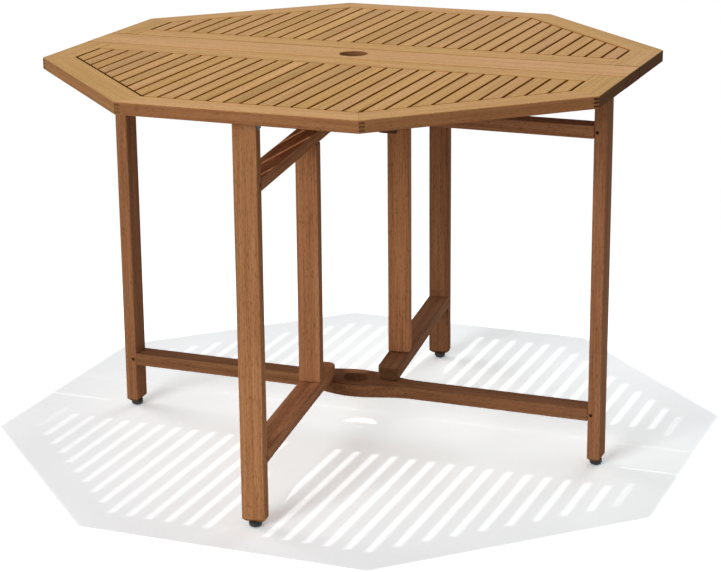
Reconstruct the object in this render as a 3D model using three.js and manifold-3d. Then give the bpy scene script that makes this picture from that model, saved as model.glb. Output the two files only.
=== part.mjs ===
// Folding umbrella table: a slatted octagonal top on a fixed frame with two swinging gate legs.
// Millimetres, +Z up, floor at z = 0, the umbrella's axis along z. The fixed board lies along x.
import * as THREE from "three";
import { mergeVertices } from "three/addons/utils/BufferGeometryUtils.js";
import Module from "manifold-3d";

const wasm = await Module();
wasm.setup();

// Whole table
const topAcross = 1050;
const tableHeight = 740;
const topThickness = 22;
const fitGap = 0.3;
const overrun = 2;

// Leaf frames and centre board
const leafRailWidth = 55;
const seamSpacing = 95;
const seamGap = 2.5;
const boardHoleWidth = 52;

// Finger joints at the corners of a leaf
const fingerCount = 3;
const fingerThickness = 3.3;
const fingerReach = 10;

// Slats, their tongues and the ledger under their inner ends
const slatCount = 31;
const slatGap = 4.4;
const slatThickness = 12;
const slatEndGap = 1;
const tongueThickness = 5;
const tongueLength = 6;
const tongueDepthShare = 0.5;
const ledgerWidth = 20;
const ledgerSink = 0.5;

// Sticks of the frame and the gates
const stickWidth = 42;
const stickThickness = 24;
const legInset = 50;
const gateLegInset = 40;
const stretcherHeight = 89;
const upperRailDrop = 75;
const railHoleWidth = 50;
const bellyWidth = 92;
const bellyLength = 240;
const footBevel = 5;

// Tenons and the pins across them
const tenonLength = 16;
const tenonWidth = 28;
const tenonThickness = 12;
const tenonPinWidth = 6;
const tenonPinInset = 6;
const tenonPinRecess = 1.5;

// Gates
const pivotSpacing = 118;
const pivotSideGap = 1;
const gateSplay = THREE.MathUtils.degToRad(7.6);
const gateRunningGap = 0.5;
const postReach = 90;
const tailRounding = 19;
const pivotPinWidth = 8;
const pivotPinShare = 0.85;

// Cap on a gate's outer leg
const capThickness = 3;
const capLipHeight = 15;

// Foot glides
const glideWidth = 23;
const glideHeight = 11;
const glideFlatWidth = 14;
const glideRounding = 4;
const glideStemWidth = 5;
const glideStemLength = 14;

// Hinges
const hingeSpread = 600;
const hingeLength = 50;
const hingePlateWidth = 28;
const hingePlateThickness = 2;
const knuckleWidth = 8;
const knuckleShare = 0.3;
const knuckleGap = 0.4;
const hingePinWidth = 4;
const hingePinHeadWidth = 6.4;
const hingePinHeadThickness = 1.2;

// Cleats that hold the board on the end legs
const cleatThickness = 24;
const cleatLength = 80;

// Facets of round shapes
const holeSides = 32;
const pinSides = 12;
const glideSides = 24;
const tailSteps = 6;
const bellySteps = 16;

// Places worked out from the driving sizes
const halfAcross = topAcross / 2;
const octagonSlope = Math.tan(Math.PI / 8);
const outerCorner = halfAcross * octagonSlope;
const fieldAcross = halfAcross - leafRailWidth;
const innerCorner = fieldAcross * octagonSlope;
const underside = tableHeight - topThickness;
const seamPlace = seamSpacing / 2;
const boardEdge = seamPlace - seamGap / 2;
const leafEdge = seamPlace + seamGap / 2;
const fieldEdge = leafEdge + leafRailWidth;
const halfStick = stickWidth / 2;
const halfGrain = stickThickness / 2;
const legPlace = halfAcross - legInset;
const legInner = legPlace - halfGrain;
const stretcherTop = stretcherHeight + stickThickness;
const upperRailTop = underside - upperRailDrop;
const upperRailBottom = upperRailTop - stickThickness;
const gateLowerBottom = stretcherTop + gateRunningGap;
const gateLowerTop = gateLowerBottom + stickThickness;
const gateUpperTop = upperRailBottom - gateRunningGap;
const gateUpperBottom = gateUpperTop - stickThickness;
const pivotX = pivotSpacing / 2;
const pivotY = halfStick + pivotSideGap;
const gateLegPlace = halfAcross - gateLegInset;
const gateReach = (gateLegPlace - pivotY) / Math.cos(gateSplay);
const gateLegInner = gateReach - halfGrain;
const tongueTop = tableHeight - slatThickness * tongueDepthShare + tongueThickness / 2;
const tongueBottom = tongueTop - tongueThickness;

// Finishes
const topWood = new THREE.MeshStandardMaterial({ color: 0xc59b67, roughness: 0.6, metalness: 0 });
const frameWood = new THREE.MeshStandardMaterial({ color: 0x8d5f40, roughness: 0.62, metalness: 0 });
const steel = new THREE.MeshStandardMaterial({ color: 0xa8a49a, roughness: 0.35, metalness: 0.9 });
const plastic = new THREE.MeshStandardMaterial({ color: 0x16181a, roughness: 0.5, metalness: 0 });

// A closed geometry as a solid: only positions are kept and shared corners are merged.
function solid(geometry) {
  geometry.deleteAttribute("normal");
  geometry.deleteAttribute("uv");
  const merged = mergeVertices(geometry);
  return new wasm.Manifold(
    new wasm.Mesh({
      numProp: 3,
      vertProperties: merged.getAttribute("position").array,
      triVerts: new Uint32Array(merged.index.array),
    }),
  );
}

// A solid as a named mesh of the scene.
function piece(name, shape, material) {
  const mesh = shape.getMesh();
  const geometry = new THREE.BufferGeometry();
  geometry.setAttribute("position", new THREE.BufferAttribute(mesh.vertProperties, mesh.numProp));
  geometry.setIndex(new THREE.BufferAttribute(mesh.triVerts, 1));
  geometry.computeVertexNormals();
  const made = new THREE.Mesh(geometry, material);
  made.name = name;
  return made;
}

// A straight block between two corners.
function block([x0, y0, z0], [x1, y1, z1]) {
  const shape = new THREE.BoxGeometry(x1 - x0, y1 - y0, z1 - z0);
  return solid(shape.translate((x0 + x1) / 2, (y0 + y1) / 2, (z0 + z1) / 2));
}

// An outline in plan carried up from one height to another.
function prism(outline, low, high) {
  const shape = new THREE.Shape(outline.map(([x, y]) => new THREE.Vector2(x, y)));
  const body = new THREE.ExtrudeGeometry(shape, { depth: high - low, bevelEnabled: false });
  return solid(body.translate(0, 0, low));
}

// A profile of [radius, height] pairs turned about z.
function turned(profile, sides) {
  const points = profile.map(([radius, height]) => new THREE.Vector2(radius, height));
  return solid(new THREE.LatheGeometry(points, sides).rotateX(Math.PI / 2));
}

// A plain rod of a given width along z.
function rod(width, low, high, sides) {
  return turned([[0, low], [width / 2, low], [width / 2, high], [0, high]], sides);
}

// A rod of a given width along x or y, centred at a place.
function crossRod(width, length, axis, [x, y, z]) {
  const standing = rod(width, -length / 2, length / 2, pinSides);
  const lying = axis === "x" ? standing.rotate([0, 90, 0]) : standing.rotate([90, 0, 0]);
  return lying.translate([x, y, z]);
}

const joined = (shapes) => shapes.reduce((all, shape) => all.add(shape));

// A leg stick on the floor side: its foot end is bevelled on all four edges.
function legStick(sizeX, sizeY, low, high) {
  const bevelled = (size) => [
    [-size / 2, high],
    [-size / 2, low + footBevel],
    [-size / 2 + footBevel, low],
    [size / 2 - footBevel, low],
    [size / 2, low + footBevel],
    [size / 2, high],
  ];
  const sheet = (size, across) => {
    const outline = new THREE.Shape(bevelled(size).map(([u, v]) => new THREE.Vector2(u, v)));
    const body = new THREE.ExtrudeGeometry(outline, { depth: across, bevelEnabled: false });
    return body.translate(0, 0, -across / 2).rotateX(Math.PI / 2);
  };
  const alongX = solid(sheet(sizeX, sizeY));
  const alongY = solid(sheet(sizeY, sizeX).rotateZ(Math.PI / 2));
  return alongX.intersect(alongY);
}

// The glide under a leg: a low dome on a stem that is driven into the leg.
function footGlide(name) {
  const radius = glideWidth / 2;
  const stem = glideStemWidth / 2;
  const top = glideHeight - fitGap;
  const profile = [
    [0, 0],
    [glideFlatWidth / 2, 0],
    [radius - glideRounding * octagonSlope, glideRounding * octagonSlope],
    [radius, glideRounding],
    [radius, top],
    [stem, top],
    [stem, glideHeight + glideStemLength],
    [0, glideHeight + glideStemLength],
  ];
  return piece(name, turned(profile, glideSides), plastic);
}

// The hole in a leg's foot for the stem of its glide.
function stemHole() {
  const low = glideHeight - overrun;
  return rod(glideStemWidth + 2 * fitGap, low, glideHeight + glideStemLength + fitGap, pinSides);
}

// A tenon along x, starting inside its rail; grow makes the mortise that takes it.
function tenon(start, length, middleZ, grow) {
  const halfWidth = tenonWidth / 2 + grow;
  const halfThickness = tenonThickness / 2 + grow;
  return block(
    [start - overrun, -halfWidth, middleZ - halfThickness],
    [start + length + grow, halfWidth, middleZ + halfThickness],
  );
}

// The pin across a tenon joint, and the hole for it.
function tenonPin(start, middleZ) {
  const place = [start + tenonPinInset, 0, middleZ];
  return crossRod(tenonPinWidth, stickWidth - 2 * tenonPinRecess, "y", place);
}

function tenonPinHole(start, middleZ) {
  const place = [start + tenonPinInset, 0, middleZ];
  return crossRod(tenonPinWidth + 2 * fitGap, stickWidth + 2 * overrun, "y", place);
}

// Half the width of a frame rail at x: a stick that swells to a belly round the umbrella hole.
function bellyHalf(x) {
  const swell = (bellyWidth - stickWidth) / 2;
  return halfStick + swell * (1 + Math.cos((2 * Math.PI * x) / bellyLength)) / 2;
}

// A flat frame rail from leg to leg, with its belly, umbrella hole, tenons and pivot pin holes.
function frameRail(bottom) {
  const end = legInner - fitGap;
  const middle = bottom + halfGrain;
  const steps = Array.from({ length: bellySteps + 1 }, (_, i) => bellyLength * (i / bellySteps - 1 / 2));
  const near = steps.map((x) => [x, -bellyHalf(x)]);
  const far = steps.map((x) => [-x, bellyHalf(x)]);
  const nearSide = [[-end, -halfStick], ...near, [end, -halfStick]];
  const outline = [...nearSide, [end, halfStick], ...far, [-end, halfStick]];
  const bar = prism(outline, bottom, bottom + stickThickness);
  const right = tenon(end, tenonLength, middle, 0);
  const left = right.rotate([0, 0, 180]);
  const umbrella = rod(railHoleWidth, bottom - overrun, bottom + stickThickness + overrun, holeSides);
  const pinHole = tenonPinHole(legInner, middle);
  const holes = joined([umbrella, pinHole, pinHole.rotate([0, 0, 180])]);
  return joined([bar, left, right]).subtract(holes);
}

// One pivot pin, reaching the same share of a stick up and down from the joint between two rails.
const pivotPinReach = stickThickness * pivotPinShare;

function pivotPinHole(jointHeight) {
  const reach = pivotPinReach + fitGap;
  return rod(pivotPinWidth + 2 * fitGap, jointHeight - reach, jointHeight + reach, pinSides);
}

const lowerJoint = stretcherTop + gateRunningGap / 2;
const upperJoint = upperRailBottom - gateRunningGap / 2;

// The fixed frame under the board.
function frame() {
  const group = new THREE.Group();
  const legTop = underside - fitGap;
  const middles = { upper: upperRailBottom + halfGrain, lower: stretcherHeight + halfGrain };
  for (const [side, turn] of [["right", 0], ["left", 180]]) {
    const sign = turn === 0 ? 1 : -1;
    const stick = legStick(stickThickness, stickWidth, glideHeight, legTop);
    let leg = stick.subtract(stemHole()).translate([legPlace, 0, 0]);
    for (const [level, middle] of Object.entries(middles)) {
      const mortise = tenon(legInner, tenonLength, middle, fitGap);
      leg = leg.subtract(mortise).subtract(tenonPinHole(legInner, middle));
      const pin = tenonPin(legInner, middle).rotate([0, 0, turn]);
      group.add(piece(`${side}_leg_${level}_tenon_pin`, pin, frameWood));
    }
    group.add(piece(`${side}_leg`, leg.rotate([0, 0, turn]), frameWood));
    const glide = footGlide(`${side}_leg_glide`);
    glide.position.x = sign * legPlace;
    group.add(glide);
    const cleatEnd = legInner - fitGap;
    const cleat = block(
      [cleatEnd - cleatThickness, -cleatLength / 2, legTop - cleatThickness],
      [cleatEnd, cleatLength / 2, legTop],
    );
    group.add(piece(`${side}_board_cleat`, cleat.rotate([0, 0, turn]), frameWood));
  }
  const pivotHoles = (joint) => {
    const hole = pivotPinHole(joint);
    return hole.translate([-pivotX, -pivotY, 0]).add(hole.translate([pivotX, pivotY, 0]));
  };
  const upperRail = frameRail(upperRailBottom).subtract(pivotHoles(upperJoint));
  const stretcher = frameRail(stretcherHeight).subtract(pivotHoles(lowerJoint));
  group.add(piece("upper_frame_rail", upperRail, frameWood));
  group.add(piece("lower_stretcher", stretcher, frameWood));
  for (const [gateName, sign] of [["front", -1], ["rear", 1]]) {
    for (const [level, joint] of [["upper", upperJoint], ["lower", lowerJoint]]) {
      const pin = rod(pivotPinWidth, joint - pivotPinReach, joint + pivotPinReach, pinSides);
      const made = piece(`${gateName}_gate_${level}_pivot_pin`, pin, steel);
      made.position.set(sign * pivotX, sign * pivotY, 0);
      group.add(made);
    }
  }
  return group;
}

// The outline of a gate rail in plan, x outward from the pivot, with one rounded tail corner.
function gateRailOutline() {
  const end = gateLegInner - fitGap;
  const centre = halfStick - tailRounding;
  const arc = Array.from({ length: tailSteps + 1 }, (_, i) => {
    const angle = Math.PI / 2 * (1 + i / tailSteps);
    return [-centre + tailRounding * Math.cos(angle), centre + tailRounding * Math.sin(angle)];
  });
  return [[end, halfStick], ...arc, [-halfStick, -halfStick], [end, -halfStick]];
}

// A post's tenon into the rail above or below it; grow makes the mortise.
function postTenon(low, high, grow) {
  const halfWidth = tenonWidth / 2 + grow;
  const halfThickness = tenonThickness / 2 + grow;
  return block(
    [postReach - halfThickness, -halfWidth, low - grow],
    [postReach + halfThickness, halfWidth, high + grow],
  );
}

// A gate about its pivot: x runs outward along the gate, the pivot's axis is z.
function gate(name) {
  const group = new THREE.Group();
  const levels = [
    { level: "upper", bottom: gateUpperBottom, joint: upperJoint },
    { level: "lower", bottom: gateLowerBottom, joint: lowerJoint },
  ];
  const postBottom = gateLowerTop + fitGap;
  const postTop = gateUpperBottom - fitGap;
  const tenonReach = tenonThickness;
  const tenons = {
    upper: [postTop - overrun, postTop + tenonReach],
    lower: [postBottom - tenonReach, postBottom + overrun],
  };
  const legTop = underside - 2 * fitGap - capThickness;
  const capInner = gateLegInner;
  const capOuter = capInner + stickThickness;
  const stick = legStick(stickThickness, stickWidth, glideHeight, legTop);
  let leg = stick.subtract(stemHole()).translate([gateReach, 0, 0]);
  for (const { level, bottom, joint } of levels) {
    const middle = bottom + halfGrain;
    const start = gateLegInner - fitGap;
    const cuts = joined([
      pivotPinHole(joint),
      tenonPinHole(gateLegInner, middle),
      postTenon(...tenons[level], fitGap),
    ]);
    const bar = prism(gateRailOutline(), bottom, bottom + stickThickness);
    const rail = bar.add(tenon(start, tenonLength, middle, 0));
    const mortise = tenon(gateLegInner, tenonLength, middle, fitGap);
    leg = leg.subtract(mortise).subtract(tenonPinHole(gateLegInner, middle));
    group.add(piece(`${name}_gate_${level}_rail`, rail.subtract(cuts), frameWood));
    group.add(piece(`${name}_gate_${level}_tenon_pin`, tenonPin(gateLegInner, middle), frameWood));
  }
  const post = joined([
    block([postReach - halfGrain, -halfStick, postBottom], [postReach + halfGrain, halfStick, postTop]),
    postTenon(...tenons.upper, 0),
    postTenon(...tenons.lower, 0),
  ]);
  const capTop = underside - fitGap;
  const lipInner = halfStick + fitGap;
  const cap = joined([
    block([capInner, -halfStick, capTop - capThickness], [capOuter, lipInner + capThickness, capTop]),
    block([capInner, lipInner, capTop - capLipHeight], [capOuter, lipInner + capThickness, capTop]),
  ]);
  const glide = footGlide(`${name}_gate_leg_glide`);
  glide.position.x = gateReach;
  group.add(piece(`${name}_gate_leg`, leg, frameWood), piece(`${name}_gate_post`, post, frameWood));
  group.add(piece(`${name}_gate_leg_cap`, cap, plastic), glide);
  group.position.set(-pivotX, -pivotY, 0);
  group.rotation.z = gateSplay - Math.PI / 2;
  return group;
}

// The fixed board along x with the umbrella hole.
function centreBoard() {
  const plank = block([-halfAcross, -boardEdge, underside], [halfAcross, boardEdge, tableHeight]);
  const hole = rod(boardHoleWidth, underside - overrun, tableHeight + overrun, holeSides);
  return piece("centre_board", plank.subtract(hole), topWood);
}

// Corner between two leaf rails: the outer and inner point and the way each rail runs from it.
function corner(outer, inner, givesTowards, takesTowards) {
  const way = (point) => new THREE.Vector2(...point).sub(new THREE.Vector2(...outer)).normalize();
  return { outer, inner, gives: way(givesTowards), takes: way(takesTowards) };
}

const moved = ([x, y], way, distance) => [x + way.x * distance, y + way.y * distance];

// The thin gap of the mitre between the two rails of a corner.
function mitreCut({ outer, inner, gives, takes }) {
  const along = new THREE.Vector2(outer[0] - inner[0], outer[1] - inner[1]).normalize();
  const far = moved(outer, along, overrun);
  const near = moved(inner, along, -overrun);
  const half = fitGap / 2 / Math.cos(Math.PI / 8);
  const farSide = [moved(far, gives, half), moved(far, takes, half)];
  const outline = [...farSide, moved(near, takes, half), moved(near, gives, half)];
  return prism(outline, underside - overrun, tableHeight + overrun);
}

// The fingers of the giving rail, or with grow the slots for them in the taking rail.
function fingers({ outer, inner, gives, takes }, grow) {
  const along = new THREE.Vector2(outer[0] - inner[0], outer[1] - inner[1]).normalize();
  const spread = grow > 0 ? overrun : 0;
  const far = moved(outer, along, spread);
  const near = moved(inner, along, -spread);
  const reach = fingerReach + grow;
  const farSide = [moved(far, gives, overrun), far, moved(far, takes, reach)];
  const outline = [...farSide, moved(near, takes, reach), near, moved(near, gives, overrun)];
  const spacing = (topThickness - fingerThickness) / fingerCount;
  return joined(Array.from({ length: fingerCount }, (_, i) => {
    const middle = underside + topThickness / 2 + spacing * (i - (fingerCount - 1) / 2);
    const half = fingerThickness / 2 + grow;
    return prism(outline, middle - half, middle + half);
  }));
}

// How far out from the seam the slat field reaches at x, less an inset from the rails.
function fieldReach(x, inset) {
  const diagonal = fieldAcross + innerCorner - inset * Math.SQRT2 - Math.abs(x);
  return Math.min(fieldAcross - inset, diagonal);
}

// The groove round the inside of a leaf frame that takes the slats' tongues.
function leafGroove() {
  const depth = tongueLength + fitGap;
  const side = fieldAcross + depth;
  const kink = fieldAcross + innerCorner + depth * Math.SQRT2 - side;
  const rightHalf = [[side, -seamPlace], [side, -kink], [kink, -side]];
  const outline = [[-side, -seamPlace], ...rightHalf, [-kink, -side], [-side, -kink]];
  return prism(outline, tongueBottom - fitGap, tongueTop + fitGap);
}

// One slat between x0 and x1, with an inset from the rails, between two heights.
function slatLayer(x0, x1, inset, low, high) {
  const kink = fieldAcross + innerCorner - inset * Math.SQRT2 - (fieldAcross - inset);
  const inner = -fieldEdge - inset;
  const bends = [-kink, kink].filter((x) => x > x0 && x < x1);
  const outerPoints = [x0, ...bends, x1].map((x) => [x, -fieldReach(x, inset)]);
  return prism([[x1, inner], [x0, inner], ...outerPoints], low, high);
}

// All slats of a leaf on the ledger beside the seam rail that holds them together.
function slatPanel() {
  const slatBottom = tableHeight - slatThickness;
  const slatWidth = (2 * fieldAcross - slatGap) / slatCount - slatGap;
  const slats = Array.from({ length: slatCount }, (_, i) => {
    const x0 = -fieldAcross + slatGap + i * (slatWidth + slatGap);
    const tongue = slatLayer(x0, x0 + slatWidth, -tongueLength, tongueBottom, tongueTop);
    return slatLayer(x0, x0 + slatWidth, slatEndGap, slatBottom, tableHeight).add(tongue);
  });
  const end = fieldAcross - slatEndGap;
  const nearSide = fieldEdge + fitGap;
  const farSide = nearSide + ledgerWidth;
  const ledger = block([-end, -farSide, underside + fitGap], [end, -nearSide, slatBottom + ledgerSink]);
  return joined([...slats, ledger]);
}

// The frame rails of a leaf, in plan from the seam outward (-y).
function leafRails(names) {
  const mirror = ([x, y]) => [-x, y];
  const endCorner = [halfAcross, -outerCorner];
  const endInner = [fieldAcross, -innerCorner];
  const farCorner = [outerCorner, -halfAcross];
  const farInner = [innerCorner, -fieldAcross];
  const end = [[fieldAcross, -leafEdge], [halfAcross, -leafEdge], endCorner, endInner];
  const diagonal = [endCorner, farCorner, farInner, endInner];
  const outlines = {
    rightEnd: end,
    rightDiagonal: diagonal,
    outer: [mirror(farInner), mirror(farCorner), farCorner, farInner],
    leftDiagonal: diagonal.map(mirror),
    leftEnd: end.map(mirror),
  };
  const leftEndCorner = mirror(endCorner);
  const leftFarCorner = mirror(farCorner);
  const corners = [
    {
      gives: "rightEnd",
      takes: "rightDiagonal",
      at: corner(endCorner, endInner, [halfAcross, 0], farCorner),
    },
    {
      gives: "outer",
      takes: "rightDiagonal",
      at: corner(farCorner, farInner, leftFarCorner, endCorner),
    },
    {
      gives: "leftDiagonal",
      takes: "outer",
      at: corner(leftFarCorner, mirror(farInner), leftEndCorner, farCorner),
    },
    {
      gives: "leftEnd",
      takes: "leftDiagonal",
      at: corner(leftEndCorner, mirror(endInner), [-halfAcross, 0], leftFarCorner),
    },
  ];
  const groove = leafGroove();
  return Object.entries(outlines).map(([key, outline]) => {
    let rail = prism(outline, underside, tableHeight);
    for (const { gives, takes, at } of corners) {
      if (key === gives || key === takes) rail = rail.subtract(mitreCut(at));
      if (key === gives) rail = rail.add(fingers(at, 0));
      if (key === takes) rail = rail.subtract(fingers(at, fitGap));
    }
    return piece(names[key], rail.subtract(groove), topWood);
  });
}

// The rail along the seam: stub tongues at its ends and the slats' groove along its far side.
function innerRail(name) {
  const end = fieldAcross - fitGap;
  const tongueEnd = fieldAcross + tongueLength;
  const grooveDepth = tongueLength + fitGap;
  const bar = block([-end, -fieldEdge, underside], [end, -leafEdge, tableHeight]);
  const tongues = block([-tongueEnd, -fieldEdge, tongueBottom], [tongueEnd, -leafEdge, tongueTop]);
  const groove = block(
    [-tongueEnd - overrun, -fieldEdge - overrun, tongueBottom - fitGap],
    [tongueEnd + overrun, -fieldEdge + grooveDepth, tongueTop + fitGap],
  );
  return piece(name, bar.add(tongues).subtract(groove), topWood);
}

// A hinge under the seam, its pin along x at the middle of the seam gap.
function hinge(name) {
  const group = new THREE.Group();
  const drop = knuckleWidth / 2;
  const half = hingeLength / 2;
  const outerKnuckle = hingeLength * knuckleShare;
  const boreWidth = hingePinWidth + 2 * fitGap;
  const bore = crossRod(boreWidth, hingeLength + 2 * overrun, "x", [0, 0, 0]);
  const shell = (x0, x1) => crossRod(knuckleWidth, x1 - x0, "x", [(x0 + x1) / 2, 0, 0]);
  const bridge = (x0, x1) => block([x0, 0, drop - hingePlateThickness], [x1, drop + overrun, drop]);
  const plateStart = drop + knuckleGap;
  const plate = block([-half, plateStart, drop - hingePlateThickness], [half, hingePlateWidth, drop]);
  const outerRanges = [[-half, outerKnuckle - half], [half - outerKnuckle, half]];
  const middleRange = [outerKnuckle - half + knuckleGap, half - outerKnuckle - knuckleGap];
  const boardPlate = joined([plate, ...outerRanges.flatMap(([x0, x1]) => [shell(x0, x1), bridge(x0, x1)])]);
  const leafPlate = joined([plate, shell(...middleRange), bridge(...middleRange)]);
  const head = half + fitGap;
  const pinRadius = hingePinWidth / 2;
  const headRadius = hingePinHeadWidth / 2;
  const headEnd = head + hingePinHeadThickness;
  const lowEnd = [[0, -headEnd], [headRadius, -headEnd], [headRadius, -head], [pinRadius, -head]];
  const highEnd = [[pinRadius, head], [headRadius, head], [headRadius, headEnd], [0, headEnd]];
  const pin = turned([...lowEnd, ...highEnd], pinSides).rotate([0, 90, 0]);
  group.add(piece(`${name}_hinge_board_plate`, boardPlate.subtract(bore), steel));
  group.add(piece(`${name}_hinge_leaf_plate`, leafPlate.subtract(bore).rotate([0, 0, 180]), steel));
  group.add(piece(`${name}_hinge_pin`, pin, steel));
  group.position.z = underside - fitGap - drop;
  return group;
}

// One drop leaf with its hinges, on the -y side of the board.
function leaf(name, right, left) {
  const group = new THREE.Group();
  const names = {
    rightEnd: `${name}_leaf_${right}_end_rail`,
    rightDiagonal: `${name}_leaf_${right}_diagonal_rail`,
    outer: `${name}_leaf_outer_rail`,
    leftDiagonal: `${name}_leaf_${left}_diagonal_rail`,
    leftEnd: `${name}_leaf_${left}_end_rail`,
  };
  group.add(...leafRails(names), innerRail(`${name}_leaf_inner_rail`));
  group.add(piece(`${name}_leaf_slat_panel`, slatPanel(), topWood));
  for (const [side, sign] of [[right, 1], [left, -1]]) {
    const made = hinge(`${name}_${side}`);
    made.position.x = sign * hingeSpread / 2;
    made.position.y = -seamPlace;
    group.add(made);
  }
  return group;
}

const table = new THREE.Group();
const rearHalf = new THREE.Group();
rearHalf.rotation.z = Math.PI;
rearHalf.add(leaf("rear", "left", "right"), gate("rear"));
table.add(centreBoard(), frame(), leaf("front", "right", "left"), gate("front"), rearHalf);

export default table;
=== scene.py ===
"""Looks of a folding umbrella table: a slatted octagonal top on a fixed frame with two swinging gates.

Sizes are in millimetres until a mesh is written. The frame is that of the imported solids: +Z up, the floor at
z = 0, the umbrella's axis along Z, the fixed board along X and the front leaf towards -Y.
"""
import logging
import math
from collections.abc import Callable
from dataclasses import dataclass, field
from enum import Enum

import bmesh
import bpy
import numpy as np
from mathutils import Matrix, Vector


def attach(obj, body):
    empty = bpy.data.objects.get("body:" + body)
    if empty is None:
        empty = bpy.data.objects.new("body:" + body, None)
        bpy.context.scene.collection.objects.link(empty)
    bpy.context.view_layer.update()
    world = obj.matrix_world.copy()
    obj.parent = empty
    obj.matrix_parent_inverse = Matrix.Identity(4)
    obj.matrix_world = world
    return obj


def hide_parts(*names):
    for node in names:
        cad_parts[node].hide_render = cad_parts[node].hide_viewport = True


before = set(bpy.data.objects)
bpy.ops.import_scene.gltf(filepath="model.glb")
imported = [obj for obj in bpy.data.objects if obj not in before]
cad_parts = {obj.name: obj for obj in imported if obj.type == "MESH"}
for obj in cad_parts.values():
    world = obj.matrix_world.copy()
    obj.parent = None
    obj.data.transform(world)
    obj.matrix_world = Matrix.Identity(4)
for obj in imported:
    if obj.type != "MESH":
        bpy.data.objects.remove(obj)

LOG = logging.getLogger("umbrella_table")
# A millimetre in metres, and the distance below which corners are merged.
MM = 0.001
MERGE = 0.002 * MM
# Edges that turn by more than this stay sharp, and a rounded edge has this many faces across it.
SHARP_ANGLE = math.radians(34)
EDGE_STEPS = 3
# Cosine above which two edges of an outline count as one line.
STRAIGHT = 0.9999
# Points of the table from which a bar's outline is read back.
LOOKUP_POINTS = 2000
SEED = 20
# Half a side of a regular octagon over half its width.
OCTAGON = math.tan(math.pi / 8)
WHITE = "#ffffff"
# Numbers of the Mix node's colour inputs and of its colour output.
MIX_A = 6
MIX_B = 7
MIX_RESULT = 2

Vector3 = tuple[float, float, float]
Palette = tuple[str, str, str]
UP: Vector3 = (0.0, 0.0, 1.0)
ALONG_X: Vector3 = (1.0, 0.0, 0.0)
ALONG_Y: Vector3 = (0.0, 1.0, 0.0)
LONG_EDGES: tuple[Vector3, Vector3] = (ALONG_Y, (0.0, -1.0, 0.0))
# The front gate's pivot, and how far the set-up gate stands from square to the board.
GATE_PIVOT: Vector3 = (-59.0, -22.0, 0.0)
GATE_SPLAY = math.radians(7.6)


class Body(Enum):
    """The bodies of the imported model."""

    FRAME = "table_frame"
    FRONT_LEAF = "front_leaf"
    REAR_LEAF = "rear_leaf"
    FRONT_GATE = "front_gate"
    REAR_GATE = "rear_gate"


class Slot(Enum):
    """The finishes of the record."""

    TOP_WOOD = "top_wood"
    FRAME_WOOD = "frame_wood"
    STEEL = "steel"
    BLACK_PLASTIC = "black_plastic"


class Joint(Enum):
    """How the end of a leaf's rail meets its neighbour."""

    SQUARE = "square"
    GIVES = "gives fingers"
    TAKES = "takes fingers"


class EndGrainAndGapShade(Enum):
    """The end value that a face of wood carries: end grain and a bore's wall are darker wood, and the sides of
    narrow gaps get painted shade.
    """

    FACE = 0.0
    BORE = 0.4
    END_GRAIN = 1.0
    GAP = 2.0
    DEEP_GAP = 3.0


# Shapes


@dataclass
class Shape:
    """Corners in millimetres, with the faces between them.

    Args:
        points: N x 3 corners.
        faces: Each face as a list of corner numbers.
    """

    points: np.ndarray
    faces: list[list[int]]

    def placed(self, place: "Place") -> "Shape":
        """The same shape put at a place."""
        return Shape(place.put(self.points), self.faces)

    @staticmethod
    def joined(shapes: list["Shape"]) -> "Shape":
        """Several shapes as one.

        Args:
            shapes: The shapes, in order.

        Returns:
            One shape that holds all corners and faces.
        """
        starts = np.cumsum([0] + [len(shape.points) for shape in shapes]).tolist()
        faces = [[start + i for i in face] for start, shape in zip(starts, shapes) for face in shape.faces]
        return Shape(np.vstack([shape.points for shape in shapes]), faces)


@dataclass(frozen=True)
class Place:
    """A rigid place: where the local axes point and where their origin lies."""

    origin: Vector3 = (0.0, 0.0, 0.0)
    x: Vector3 = ALONG_X
    y: Vector3 = ALONG_Y
    z: Vector3 = UP

    def put(self, points: np.ndarray) -> np.ndarray:
        """Local points in the outer frame: x X + y Y + z Z + origin."""
        return self.way(points) + np.asarray(self.origin)

    def way(self, vectors: np.ndarray | Vector3) -> np.ndarray:
        """Local directions in the outer frame."""
        return np.asarray(vectors, float) @ np.array([self.x, self.y, self.z])

    def within(self, outer: "Place") -> "Place":
        """This place, when the frame that it lies in is itself put at the outer place."""
        axes = [tuple(outer.way(axis)) for axis in (self.x, self.y, self.z)]
        return Place(tuple(outer.put(np.array(self.origin))), *axes)

    @staticmethod
    def about_z(angle: float, origin: Vector3 = (0.0, 0.0, 0.0)) -> "Place":
        """A place turned about Z by an angle in radians."""
        c, s = math.cos(angle), math.sin(angle)
        return Place(origin, (c, s, 0.0), (-s, c, 0.0), UP)


# Places that lay a shape's local z along X, along Y or downwards.
LYING = Place(x=ALONG_Y, y=UP, z=ALONG_X)
ACROSS = Place(x=UP, y=ALONG_X, z=ALONG_Y)
UNDER = Place(y=(0.0, -1.0, 0.0), z=(0.0, 0.0, -1.0))


def skin(rings: np.ndarray, closed: bool = False) -> Shape:
    """Skins a stack of rings.

    Formula: face (k, i) joins points i and i + 1 of ring k to the same points of ring k + 1.

    Args:
        rings: K x M x 3 points, each ring anticlockwise seen from the far end.
        closed: True joins the last ring to the first; else both ends get a flat cap.

    Returns:
        The closed shape.
    """
    count, around = rings.shape[:2]
    index = np.arange(count * around).reshape(count, around)
    stack = np.vstack([index, index[:1]]) if closed else index
    low, high = stack[:-1], stack[1:]
    quads = np.stack([low, np.roll(low, -1, 1), np.roll(high, -1, 1), high], -1).reshape(-1, 4)
    caps = [] if closed else [index[0][::-1].tolist(), index[-1].tolist()]
    return Shape(rings.reshape(-1, 3), quads.tolist() + caps)


def level(outline: np.ndarray, height: float) -> np.ndarray:
    """A plan outline as a ring at a height."""
    return np.column_stack([outline, np.full(len(outline), height)])


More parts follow.
